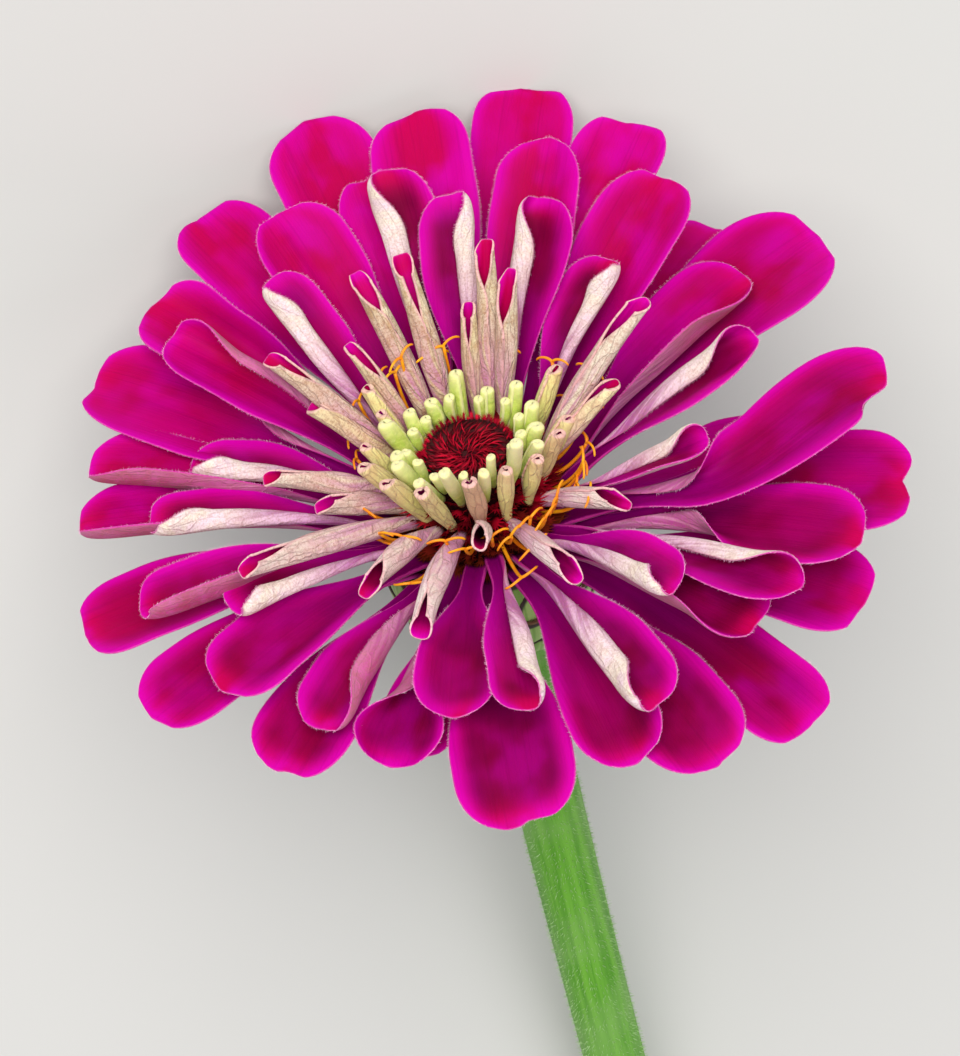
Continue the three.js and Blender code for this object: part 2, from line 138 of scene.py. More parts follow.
def between(value, low, high):
    # 0 below low and 1 above high, with a soft step from one to the other
    values = {"Value": value, "From Min": low, "From Max": high}
    made = add(value.id_data, "ShaderNodeMapRange", values, interpolation_type="SMOOTHSTEP")
    return made.outputs["Result"]


def colourMix(factor, a, b):
    made = add(factor.id_data, "ShaderNodeMix", {0: factor}, data_type="RGBA")
    for socket, value in ((made.inputs[6], a), (made.inputs[7], b)):
        if isinstance(value, bpy.types.NodeSocket):
            factor.id_data.links.new(value, socket)
        else:
            socket.default_value = (*value, 1)
    return made.outputs[2]


def tinted(colour, tint, share, strength=1.0):
    # lays a tint over a colour where the share says
    return colourMix(times(share, strength), colour, tint)


def stretched(vector, scale):
    return add(vector.id_data, "ShaderNodeMapping", {"Vector": vector, "Scale": scale}).outputs[0]


def noise(vector, scale, detail=3.0, roughness=0.5, output="Fac"):
    values = {"Vector": vector, "Scale": scale, "Detail": detail, "Roughness": roughness}
    return add(vector.id_data, "ShaderNodeTexNoise", values).outputs[output]


def drawnOut(grain, scale, detail, roughness=0.5):
    # noise that runs along the grain
    return noise(stretched(grain, scale), 1.0, detail, roughness)


def netVeins(grain, scale):
    # thin lines of a stretched net, 1 on a line and 0 between
    tree = grain.id_data
    shift = noise(grain, 1.1, 2.0, output="Color")
    warped = add(tree, "ShaderNodeMix", {0: 0.35, 4: stretched(grain, scale), 5: shift}, data_type="VECTOR")
    values = {"Vector": warped.outputs[1], "Scale": 1.0}
    cells = add(tree, "ShaderNodeTexVoronoi", values, feature="DISTANCE_TO_EDGE")
    return between(cells.outputs["Distance"], 0.09, 0.0)


def newMaterial(name, roughness, gloss=0.3, sheen=0.0, sheenTint=(1, 1, 1), soft=0.0, softRadius=(1, 1, 1)):
    material = bpy.data.materials.new(name)
    material.use_nodes = True
    shader = material.node_tree.nodes["Principled BSDF"]
    values = {
        "Roughness": roughness,
        "Specular IOR Level": gloss,
        "Sheen Weight": sheen,
        "Sheen Tint": (*sheenTint, 1),
        "Subsurface Weight": soft,
        "Subsurface Radius": softRadius,
        "Subsurface Scale": 0.8 * mm,
    }
    for key, value in values.items():
        shader.inputs[key].default_value = value
    return material, material.node_tree, shader


def paint(shader, colour, relief, strength, depth):
    # the depth of the relief is in millimetres
    links = shader.id_data.links
    values = {"Height": relief, "Strength": strength, "Distance": depth * mm}
    links.new(add(shader.id_data, "ShaderNodeBump", values).outputs[0], shader.inputs["Normal"])
    links.new(colour, shader.inputs["Base Color"])


faceLook = {
    "hot": (0.54, 0.0002, 0.165),
    "violet": (0.60, 0.0004, 0.35),
    "crimson": (0.50, 0.0002, 0.080),
    "wine": (0.080, 0.0001, 0.022),
    "purple": (0.17, 0.0002, 0.12),
    "rim": (0.66, 0.05, 0.36),
    "rimWidth": 0.10,
}


def makeFaceMaterial():
    look = faceLook
    pinkish = (1, 0.05, 0.5)
    material, tree, shader = newMaterial("rayFace", 0.55, 0.03, 0.008, pinkish, 0.2, pinkish)
    grain, along, side, deep, edge = attributes(tree, "grain", "along", "side", "deep", "edge")
    clouds = drawnOut(grain, (0.12, 0.06, 1), 2.0)
    patches = drawnOut(grain, (0.15, 0.12, 3), 2.0)
    colour = colourMix(between(edge, 0.0, 1.6), look["violet"], look["hot"])
    colour = tinted(colour, look["violet"], between(clouds, 0.4, 0.66), 0.75)
    # crimson patches along the middle of the blade
    middle = times(between(patches, 0.38, 0.60), between(along, 0.45, 0.75))
    middle = times(middle, between(maths("ABSOLUTE", side), 0.95, 0.3))
    colour = tinted(colour, look["crimson"], middle)
    # painted shade: wine on the inside of a cupped blade, as much as the ray's deep value says and a little
    # unevenly
    inside = times(between(edge, 0.1, 2.6), between(along, 1.02, 0.86))
    uneven = plus(0.65, between(patches, 0.3, 0.7), 0.35)
    colour = tinted(colour, look["wine"], times(deep, inside, uneven), 0.87)
    colour = tinted(colour, look["purple"], between(along, 0.72, 0.18), 0.8)
    # faint lengthwise veins
    fine = drawnOut(grain, (2.6, 0.06, 1), 4.0, 0.6)
    colour = tinted(colour, look["wine"], between(fine, 0.52, 0.66), 0.12)
    rim = plus(edge, noise(grain, 3.0, 2.0), -2 * look["rimWidth"])
    colour = tinted(colour, look["rim"], between(rim, 0.03, -0.05), 0.7)
    nap = noise(grain, 7.0, 2.0, 0.7)
    paint(shader, colour, plus(times(fine, 1.8), nap, 0.35), 0.35, 0.12)
    return material


backLook = {
    "cream": (0.96, 0.86, 0.70),
    "tan": (0.42, 0.25, 0.10),
    "blush": (0.94, 0.72, 0.82),
    "rose": (0.48, 0.014, 0.14),
    "mauve": (0.60, 0.05, 0.30),
    "lilac": (0.54, 0.11, 0.47),
    "paleLilac": (0.76, 0.36, 0.66),
    "veins": (0.30, 0.01, 0.18),
    "net": (0.50, 0.18, 0.18),
    "rim": (0.64, 0.10, 0.30),
    "speckle": (0.38, 0.16, 0.09),
}


def makeBackMaterial():
    look = backLook
    material, tree, shader = newMaterial("rayBack", 0.75, sheen=0.12, sheenTint=(1, 0.9, 0.85))
    names = ("grain", "along", "side", "youth", "deep", "edge")
    grain, along, side, youth, deep, edge = attributes(tree, *names)
    mottle = noise(grain, 0.6, 4.0, 0.6)
    cream = colourMix(between(mottle, 0.3, 0.75), look["cream"], look["blush"])
    tanShare = times(between(mottle, 0.52, 0.34), between(deep, 1.0, 0.5))
    cream = tinted(cream, look["tan"], tanShare, 0.6)
    rose = colourMix(between(mottle, 0.35, 0.7), look["rose"], look["mauve"])
    rose = tinted(rose, look["blush"], between(maths("ABSOLUTE", side), 0.5, 1.0), 0.15)
    colour = colourMix(between(youth, 0.15, 0.8), rose, cream)
    # lilac streaks that run out from the root
    rootward = between(plus(along, mottle, 0.3), 1.0, 0.5)
    rootward = times(rootward, between(youth, -0.6, 0.7))
    streaks = drawnOut(grain, (1.9, 0.05, 1), 3.0, 0.6)
    lilac = colourMix(between(streaks, 0.44, 0.62), look["lilac"], look["paleLilac"])
    colour = tinted(colour, lilac, rootward, 0.9)
    lines = times(between(streaks, 0.50, 0.42), rootward)
    colour = tinted(colour, look["veins"], lines, 0.5)
    net = netVeins(grain, (1.9, 0.45, 1))
    colour = tinted(colour, look["net"], net, 0.16)
    colour = tinted(colour, look["rim"], between(edge, 0.22, 0.03), 0.5)
    nap = noise(grain, 4.5, 3.0, 0.75)
    colour = tinted(colour, look["speckle"], between(nap, 0.54, 0.42), 0.3)
    relief = plus(plus(nap, net, 0.6), streaks, 1.2)
    paint(shader, colour, relief, 0.6, 0.18)
    return material


tubeLook = {
    "cream": (0.96, 0.86, 0.38),
    "green": (0.74, 0.80, 0.20),
    "tan": (0.84, 0.62, 0.27),
    "peach": (0.64, 0.36, 0.22),
    "white": (0.98, 0.88, 0.82),
    "blush": (0.92, 0.66, 0.70),
    "straw": (0.84, 0.74, 0.50),
    "sand": (0.58, 0.42, 0.20),
    "pink": (0.58, 0.26, 0.20),
    "lilac": (0.60, 0.16, 0.46),
    "dots": (0.40, 0.17, 0.09),
    "net": (0.46, 0.14, 0.13),
    "rim": (0.92, 0.48, 0.50),
}


def makeTubeMaterial():
    look = tubeLook
    material, tree, shader = newMaterial("rolledBack", 0.78, sheen=0.2, sheenTint=(1, 0.95, 0.85))
    names = ("grain", "along", "side", "youth", "deep", "edge")
    grain, along, side, youth, deep, edge = attributes(tree, *names)
    mottle = noise(grain, 0.8, 4.0, 0.65)
    young = colourMix(between(mottle, 0.35, 0.65), look["cream"], look["tan"])
    # some of the near ones are peach all over
    chosen = between(drawnOut(grain, (0, 0, 0.37), 0.0), 0.44, 0.58)
    chosen = times(chosen, between(deep, 0.35, 0.85))
    young = tinted(young, look["peach"], chosen, 0.75)
    nearer = colourMix(between(mottle, 0.35, 0.65), look["white"], look["blush"])
    older = colourMix(between(mottle, 0.4, 0.7), look["straw"], look["sand"])
    older = colourMix(deep, older, nearer)
    colour = colourMix(between(youth, 0.0, 0.7), older, young)
    # pink on one side, partly the tubes' own pink and partly painted shade, and towards the root
    shaded = between(plus(side, mottle, 0.7), 0.2, 0.75)
    outer = between(plus(along, mottle, 0.5), 1.3, 0.85)
    pinkness = times(shaded, maths("MAXIMUM", outer, 0.35), between(youth, 1.7, 0.2))
    colour = tinted(colour, look["pink"], pinkness, 0.34)
    greenness = times(between(youth, 0.35, 1.0), between(along, 1.0, 0.35))
    greenness = times(greenness, between(chosen, 1.1, 0.1))
    colour = tinted(colour, look["green"], greenness, 0.8)
    streaks = drawnOut(grain, (1.9, 0.06, 1), 3.0, 0.6)
    rootward = times(between(along, 0.8, 0.2), between(youth, 0.9, 0.2))
    rootward = times(rootward, between(streaks, 0.62, 0.45))
    colour = tinted(colour, look["lilac"], rootward, 0.8)
    net = netVeins(grain, (2.1, 0.38, 1))
    colour = tinted(colour, look["net"], net, 0.18)
    nap = noise(grain, 4.5, 3.0, 0.75)
    # brown dots of hair, most on the young tubes and where the pink with its painted shade lies
    dots = plus(between(youth, 1.4, 0.0), pinkness, 0.4)
    dots = times(dots, between(deep, 1.6, 0.2), between(nap, 0.52, 0.42))
    colour = tinted(colour, look["dots"], dots, 0.42)
    colour = tinted(colour, look["rim"], between(edge, 0.3, 0.05), 0.7)
    relief = plus(plus(nap, net, 0.8), streaks, 1.6)
    paint(shader, colour, relief, 0.75, 0.22)
    return material


budLook = {
    "lime": (0.64, 0.74, 0.16),
    "deep": (0.38, 0.52, 0.05),
    "yellow": (0.92, 0.90, 0.42),
    "cream": (0.86, 0.80, 0.48),
}


def makeBudMaterial():
    look = budLook
    material, tree, shader = newMaterial("budSkin", 0.6, 0.3, 0.15, (1, 1, 0.8), 0.25, (0.6, 1, 0.2))
    grain, along, deep, edge = attributes(tree, "grain", "along", "deep", "edge")
    mottle = noise(grain, 1.3, 3.0, 0.6)
    colour = colourMix(between(mottle, 0.3, 0.7), look["lime"], look["deep"])
    colour = tinted(colour, look["yellow"], between(mottle, 0.55, 0.9))
    colour = tinted(colour, look["yellow"], between(along, 0.55, 0.98), 0.55)
    colour = tinted(colour, look["deep"], between(along, 0.45, 0.1), 0.6)
    older = times(between(deep, 0.6, 0.9), between(along, 0.3, 0.7))
    colour = tinted(colour, look["cream"], older, 0.6)
    colour = tinted(colour, look["yellow"], between(edge, 0.4, 0.1), 0.7)
    paint(shader, colour, noise(grain, 3.0, 3.0, 0.6), 0.5, 0.15)
    return material


def makePlainMaterial(name, colours, scale, roughness, relief=0.1):
    # two colours in soft patches over the piece, with a fine relief
    material, tree, shader = newMaterial(name, roughness)
    place = add(tree, "ShaderNodeTexCoord").outputs["Object"]
    patches = noise(place, scale, 3.0, 0.6)
    colour = colourMix(between(patches, 0.35, 0.65), *colours)
    paint(shader, colour, noise(place, scale * 6), 0.4, relief)
    return material


chaffColours = {
    "dark": (0.14, 0.0008, 0.007),
    "bright": (0.60, 0.004, 0.03),
    "low": (0.20, 0.03, 0.008),  # on the scales far below the disc
    "root": (0.03, 0.0005, 0.004),
    "heart": (0.014, 0.0004, 0.012),  # in the middle of the disc
}


def makeChaffMaterial():
    look = chaffColours
    material, tree, shader = newMaterial("chaff", 0.5, gloss=0.1)
    tone, height, depth, centre = attributes(tree, "tone", "height", "depth", "centre")
    colour = colourMix(between(tone, 0.0, 1.0), look["dark"], look["bright"])
    colour = tinted(colour, look["low"], between(depth, 0.3, 1.0))
    colour = tinted(colour, look["root"], between(height, 0.5, 0.0))
    colour = tinted(colour, look["heart"], between(centre, 0.42, 0.05))
    tree.links.new(colour, shader.inputs["Base Color"])
    return material


bractColours = {
    "green": (0.18, 0.34, 0.06),
    "pale": (0.34, 0.50, 0.14),
    "band": (0.035, 0.02, 0.015),
    "rim": (0.20, 0.12, 0.06),
}


def makeBractMaterial():
    look = bractColours
    material, tree, shader = newMaterial("bract", 0.65, sheen=0.1)
    grain, along, edge = attributes(tree, "grain", "along", "edge")
    ribs = drawnOut(grain, (1.6, 0.08, 1), 3.0)
    colour = colourMix(between(ribs, 0.35, 0.65), look["green"], look["pale"])
    band = times(between(along, 0.4, 0.7), between(edge, 1.15, 0.75))
    colour = tinted(colour, look["band"], band)
    colour = tinted(colour, look["rim"], between(edge, 0.35, 0.1))
    paint(shader, colour, ribs, 0.6, 0.2)
    return material


stemColours = {
    "dark": (0.085, 0.30, 0.012),
    "green": (0.16, 0.43, 0.035),
    "pale": (0.24, 0.43, 0.12),
}


def makeStemMaterial():
    look = stemColours
    material, tree, shader = newMaterial("stemSkin", 0.5)
    (grain,) = attributes(tree, "grain")
    streaks = drawnOut(grain, (0.9, 0.03, 1), 4.0, 0.6)
    patches = noise(grain, 0.09, 2.0)
    colour = colourMix(between(streaks, 0.35, 0.65), look["dark"], look["green"])
    colour = tinted(colour, look["pale"], between(patches, 0.4, 0.7), 0.4)
    paint(shader, colour, plus(streaks, noise(grain, 3.0), 0.4), 0.5, 0.25)
    return material


rayFace = makeFaceMaterial()
rayBack = makeBackMaterial()
rolledBack = makeTubeMaterial()
budSkin = makeBudMaterial()
chaffMaterial = makeChaffMaterial()
bractMaterial = makeBractMaterial()
stemSkin = makeStemMaterial()
styleMaterial = makePlainMaterial("styleThread", [(1.0, 0.44, 0.01), (0.95, 0.26, 0.01)], 400, 0.4)
coneMaterial = makePlainMaterial("cone", [(0.03, 0.001, 0.003), (0.07, 0.003, 0.004)], 900, 0.7)
pithMaterial = makePlainMaterial("pith", [(0.60, 0.66, 0.36), (0.74, 0.76, 0.52)], 1500, 0.6)
hairMaterial = makePlainMaterial("rimHair", [(0.90, 0.56, 0.74), (0.84, 0.36, 0.62)], 300, 0.5)
bristleMaterial = makePlainMaterial("bristle", [(0.40, 0.60, 0.28), (0.32, 0.52, 0.20)], 300, 0.5)
fringeMaterial = makePlainMaterial("fringe", [(0.20, 0.12, 0.06), (0.34, 0.22, 0.12)], 300, 0.6)
print("materials are made")


# Sheets: closed grids with a face, a back and a rim


def placed(name, data):
    made = bpy.data.objects.new(name, data)
    bpy.context.scene.collection.objects.link(made)
    return made


def newMesh(name, points, faces, edges=()):
    mesh = bpy.data.meshes.new(name)
    mesh.from_pydata(laid(points), edges, faces)
    return mesh


def store(mesh, name, values):
    # keeps a number or a direction on each point of a mesh
    values = np.asarray(values, np.float32)
    kind, field = ("FLOAT_VECTOR", "vector") if values.ndim == 2 else ("FLOAT", "value")
    mesh.attributes.new(name, kind, "POINT").data.foreach_set(field, values.ravel())


def finishMesh(mesh, materials):
    for material in materials:
        mesh.materials.append(material)
    mesh.shade_smooth()
    mesh.update()
    return placed(mesh.name, mesh)


def sheetFaces(rows, columns, rimPaint):
    index = np.arange(rows * columns).reshape(rows, columns)
    below = rows * columns
    a, b, c, d = index[:-1, :-1], index[1:, :-1], index[1:, 1:], index[:-1, 1:]
    face = np.stack([a, b, c, d], -1).reshape(-1, 4)
    back = np.stack([a, d, c, b], -1).reshape(-1, 4) + below
    first, last = index[:, 0], index[:, -1]
    root, end = index[0], index[-1]
    rims = [
        np.stack([first[:-1], first[:-1] + below, first[1:] + below, first[1:]], -1),
        np.stack([last[1:], last[1:] + below, last[:-1] + below, last[:-1]], -1),
        np.stack([root[1:], root[1:] + below, root[:-1] + below, root[:-1]], -1),
        np.stack([end[:-1], end[:-1] + below, end[1:] + below, end[1:]], -1),
    ]
    rim = np.concatenate(rims)
    sides = np.concatenate([np.zeros(len(face)), np.ones(len(back)), np.full(len(rim), rimPaint)])
    return np.concatenate([face, back, rim]), sides.astype(int)


def sheetPiece(name, sheets, materials, rimPaint=1):
    # every sheet has the same grid, so its quads are made once and shifted
    rows, columns = sheets[0]["middle"].shape[:2]
    quads, sides = sheetFaces(rows, columns, rimPaint)
    size = 2 * rows * columns
    points, grains = [], []
    looks = {"along": [], "side": [], "edge": [], "youth": [], "deep": []}
    for sheet in sheets:
        lift = sheet["normal"] * sheet["half"][..., None]
        for share in (1, -1):
            points.append((sheet["middle"] + share * lift).reshape(-1, 3))
            grains.append(sheet["grain"].reshape(-1, 3))
            for key in looks:
                looks[key].append(np.broadcast_to(sheet.get(key, 0.0), (rows, columns)).ravel())
    allQuads = np.concatenate([quads + size * i for i in range(len(sheets))])
    mesh = newMesh(name, np.concatenate(points), allQuads.tolist())
    mesh.polygons.foreach_set("material_index", np.tile(sides, len(sheets)))
    for key, values in looks.items():
        store(mesh, key, np.concatenate(values))
    store(mesh, "grain", np.concatenate(grains))
    return finishMesh(mesh, materials)


def fitted(piece, node, slot=None):
    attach(piece, "root")
    if slot is None:
        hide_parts(node)
    print(f"{piece.name}: {sum(len(face.vertices) - 2 for face in piece.data.polygons)} triangles")


def nearness(azimuth):
    # 1 on the near side of the bloom and 0 on the far side; it sets how much shade is painted on the faces of
    # the open rays, and the older colours of the rolled rays and buds
    return 0.5 + 0.5 * math.cos(math.radians(azimuth))


midribSteps = 96
ownSlopeAt = 0.52  # share of its length at which a ray rises as its row says


def followMidrib(ray, q):
    # points on the line that a ray follows, and the directions along it, across it and up from it
    share = (np.arange(midribSteps) + 0.5) / midribSteps
    rise = np.radians(ray["rise"] + ray["arch"] * (ownSlopeAt - share))
    stops = np.linspace(0, 1, midribSteps + 1)
    run = np.concatenate([[0], np.cumsum(np.cos(rise))]) * ray["length"] / midribSteps
    climb = np.concatenate([[0], np.cumsum(np.sin(rise))]) * ray["length"] / midribSteps
    azimuth = math.radians(ray["azimuth"])
    outward = np.array([math.sin(azimuth), -math.cos(azimuth), 0])
    across = np.array([math.cos(azimuth), math.sin(azimuth), 0])
    start = coneRadius(ray["rootZ"]) + bloom["gap"] + ray["wall"] - ray["sink"]
    away = (start + np.interp(q, stops, run))[..., None]
    height = (ray["rootZ"] + np.interp(q, stops, climb))[..., None]
    angle = np.radians(ray["rise"] + ray["arch"] * (ownSlopeAt - q))[..., None]
    along = outward * np.cos(angle) + upright * np.sin(angle)
    up = upright * np.cos(angle) - outward * np.sin(angle)
    return outward * away + upright * height, along, across, up


def tippedNormal(across, up, angle):
    return up * np.cos(angle)[..., None] - across * np.sin(angle)[..., None]


def sheetOf(ray, u, v, q, middle, normal, half, thickness):
    # half is half the width of the sheet and q the share of its length, at each point
    return {
        "middle": middle,
        "normal": normal,
        "half": np.broadcast_to(thickness / 2, v.shape),
        "along": q,
        "side": v,
        "edge": np.minimum(half * (1 - np.abs(v)), (1 - u) * ray["length"]),
        "youth": ray["youth"],
        "deep": ray["deep"],
        "grain": np.stack([v * half + 40 * ray["seed"], q * ray["length"], 50 * ray["seed"] + 0 * u], -1),
    }


# Open rays

openRayLook = {
    "rows": 36,
    "columns": 19,
    "rimColumn": 0.965,  # one more column close to each edge
    "crowding": 1.35,  # how much closer the rows stand towards the tip
    "clawShare": 0.26,
    "bladeStart": 0.18,
    "endRound": 0.985,
    "uneven": 0.035,  # how unevenly the sides run, as a share of the width
    "lobe": 0.0045,  # how deep the teeth of a tip are, as a share of the length
    "foldStart": 0.17,
    "foldEnd": 0.57,
    "foldSteps": 24,
    "curl": 75,  # how far a wide fold rolls on towards its edge, in degrees
    "wave": 0.3,  # how far an edge waves up and down
    "sway": 0.4,  # how far a ray strays sideways on its way
    "bendFrom": 0.5,  # where the sideways bend of a row starts and ends
    "bendTo": 0.98,
    "crease": 0.18,  # depth of the groove over the midrib
    "ribs": 0.09,  # height of the soft ribs beside it
    "thickness": 0.34,
    "clawThickness": 0.6,
    "rootStagger": 0.35,
    "seed": 5,
}
# rise is how steeply a ray rises, sway how much less it does on the near side and more on the far one.
# deep is how much shade is painted on the inside of a ray's face, most on the folded rays
whorls = {
    "outer": {"rootZ": -11.4, "rise": 15, "sway": 20, "arch": 34, "cup": 16, "youth": 0.0, "deep": -0.05},
    "middle": {"rootZ": -10.2, "rise": 24, "sway": 20, "arch": 26, "cup": 26, "youth": 0.12, "deep": 0.0},
    "folded": {"rootZ": -9.0, "rise": 33, "sway": 19, "arch": 20, "cup": 34, "youth": 1.0, "deep": 0.75},
}
# One row for each ray, in this order. extra is added to the rise, behind and ahead are the folds of the
# clockwise and the counter-clockwise edge, bend moves the outer half sideways and tipLift raises the tip,
# both in millimetres, full is where the ray is widest, and opening how far its folds open towards the tip.
# What a row leaves out is 0, and from the notch on that means a usual or a random value.
rayRowNames = ["azimuth", "length", "width", "extra", "behind", "ahead", "notch"]
rayRowNames += ["bend", "tipLift", "full", "opening"]
rayRows = {
    "outer": [
        (159, 43.5, 11.5, -2, 0, 0, 0.008),
        (143, 40, 11.5, 3),
        (126, 34, 11.5, -6),
        (109, 39, 17.5, 1),
        (86, 25, 9, -6),
        (71, 38.5, 14, -1.5, 0, 0, 0.035, 0.1, 0.1),
        (53, 36, 13, 0),
        (37, 37, 11, -7),
        (24, 35, 11.5),
        (356, 34, 13, 1, 0, 0, 0.018),
        (338, 22, 9, -4),
        (318, 31, 11.5),
        (297, 34, 11, -2),
        (281, 36, 11.5, -4, 0, 0, 0.008),
        (268, 35, 11.5, 3, 0, 68, 0.006, 0, 0, 0, 0.3),
        (243, 37, 14, -2, 130, 0, 0.012, 0, 0, 0.66, 1),
        (228, 36, 11.5, 0, 90, 0),
        (212, 40, 11.5, -3),
        (193, 43, 12.5, 1),
        (177, 40, 11.5, 3),
    ],
    "middle": [
        (153, 35, 10),
        (129, 34, 12.5),
        (107, 30, 12, 0, 84, 0, 0.002),
        (64, 36, 12.5, 1.5, 0, 165, 0.004, 12.5, 2.0, 0.8, 1),
        (57, 36, 12, -2, 130, 60, 0.006, 0.2, 0.2, 0.8, 1),
        (38, 31, 11, 0, 80, 0),
        (14, 32, 11, -5, 0, 70),
        (335, 26.8, 13, -11.5, 140, 80, 0.004, 0.4, 2.0, 1.0, 0.75),
        (325, 27, 10, 0, 0, 120),
        (306, 29, 11, -3, 30, 30),
        (288, 31, 9.5, -2, 50, 92, 0.002, 0, 0, 0, 0.3),
        (260, 34, 11, -8.5, 10, 88, 0.004, 0, 0, 0, 0.5),
        (236, 31, 10, 0, 130, 0),
        (207, 33, 11, 0, 40, 0),
        (186, 33, 10, -1),
    ],
    "folded": [
        (186, 32, 10, 0, 30, 175),
        (168, 28, 9, 3, 175, 30),
        (150, 28, 10, 0, 30, 175),
        (127, 23, 9.5, 2, 180, 30),
        (89, 28, 9.5, 0, 30, 175),
        (70, 20, 8.5, 2, 40, 180),
        (46, 34, 9.5, -7, 30, 160),
        (32, 25, 9, 2, 175, 30),
        (19, 31, 10, -9, 160, 20),
        (1, 27, 8.5, -6, 20, 165),
        (348, 24, 10, -7.5, 60, 20),
        (299, 23, 9, -8, 20, 170),
        (274, 27.5, 8.5, -10, 20, 160),
        (257, 23, 8.5, -15, 20, 175),
        (223, 27, 9, 2, 20, 175),
    ],
}


def bladeOutline(ray, u, v):
    # how far along each point lies and half the width there, with the teeth and the notch of the tip
    look = openRayLook
    q = u * (1 - 0.02 * v * v * u * u)
    spread = blend(look["clawShare"], 1, ease(look["bladeStart"], ray["full"], q))
    uneven = look["uneven"] * np.sin(7 * q + ray["phase"] + 2 * np.sign(v)) * ease(0.3, 0.6, q)
    intoEnd = look["endRound"] * np.maximum(0, 1 - (1 - q) * ray["length"] / (0.5 * ray["width"]))
    power = ray["endPower"]
    half = ray["width"] / 2 * spread * (1 + uneven) * (1 - intoEnd**power) ** (1 / power)
    offMidrib = 2 * v * half / ray["width"]
    teeth = look["lobe"] * ray["toothed"] * (1 - np.cos(ray["teeth"] * offMidrib + ray["phase"]))
    cleft = ray["notch"] * np.maximum(0, 1 - np.abs(offMidrib - 0.1) / 0.35)
    return q - (teeth + cleft) * ease(0.62, 1, u), half


def bladeFold(ray, q, v):
    # how far the points lie beside and above the midrib, in half widths, and how far the blade turns there
    look = openRayLook
    # the folds set in past the root and open again towards the tip, as far as the row says
    opensFrom = 1.17 - 0.75 * ray["opening"]
    folded = 0.2 + 0.8 * ease(0.05, 0.4, q)
    folded = folded - ray["opening"] * ease(opensFrom, opensFrom + 0.28, q) * folded
    fold = np.where(v > 0, ray["ahead"], ray["behind"])
    curl = look["curl"] * ease(90, 150, fold) * folded
    fold = np.maximum(0, fold - ray["cup"]) * folded
    beside, steps = np.abs(v), look["foldSteps"]

    def turn(t):
        bent = fold * ease(look["foldStart"], look["foldEnd"], t) + curl * ease(look["foldEnd"], 1, t)
        return np.radians(ray["cup"] * t + bent)

    sideways, rising = np.zeros_like(v), np.zeros_like(v)
    for i in range(steps):
        angle = turn(beside * (i + 0.5) / steps)
        sideways += np.cos(angle) * beside / steps
        rising += np.sin(angle) * beside / steps
    return np.sign(v) * sideways, rising, np.sign(v) * turn(beside)


def bladeSheet(ray):
    # u runs from the root to the tip, and v from the clockwise edge over the midrib to the other one
    look = openRayLook
    rows = 1 - (1 - np.linspace(0, 1, look["rows"])) ** look["crowding"]
    columns = [*np.linspace(-1, 1, look["columns"]), -look["rimColumn"], look["rimColumn"]]
    u, v = np.meshgrid(rows, np.sort(columns), indexing="ij")
    beside = np.abs(v)
    q, half = bladeOutline(ray, u, v)
    sideways, rising, angle = bladeFold(ray, q, v)
    middle, along, across, up = followMidrib(ray, q)
    # the whole ray strays and bends, and its sides turn with it
    bend = ray["bend"] * ease(look["bendFrom"], look["bendTo"], u)
    stray = look["sway"] * ray["stray"] * np.sin(math.pi * u) + bend
    middle = middle + across * stray[..., None]
    heading = np.arctan(np.gradient(stray, axis=0) / (np.gradient(u, axis=0) * ray["length"]))[..., None]
    across = across * np.cos(heading) - along * np.sin(heading)
    tilt = math.radians(ray["tilt"]) * ease(0.3, 1, u)
    over, lifted = sideways * half, rising * half
    turnedOver = over * np.cos(tilt) - lifted * np.sin(tilt)
    turnedUp = over * np.sin(tilt) + lifted * np.cos(tilt) + ray["tipLift"] * ease(0.6, 1.15, u)
    middle = middle + across * turnedOver[..., None] + up * turnedUp[..., None]
    normal = tippedNormal(across, up, angle + tilt)
    flat = ease(90, 20, np.where(v > 0, ray["ahead"], ray["behind"]))
    wave = look["wave"] * flat * beside**2 * ease(0.3, 0.85, u) * np.sin(9 * u + ray["phase"] + 1.5 * v)
    crease = look["crease"] * np.exp(-((v / 0.14) ** 2)) * ease(0.25, 0.6, u) * ease(1.0, 0.8, u)
    ribs = look["ribs"] * np.cos(9 * v + ray["phase"]) * ease(0.2, 0.6, u) * ease(1.0, 0.85, u)
    middle = middle + normal * (wave - crease + ribs)[..., None]
    thickness = blend(look["clawThickness"], look["thickness"], ease(0, 0.3, u))
    thickness = thickness * (1 - 0.5 * ease(0.85, 1, beside)) * (1 - 0.5 * ease(0.97, 1, u))
    return sheetOf(ray, u, v, q, middle, normal, half, thickness)


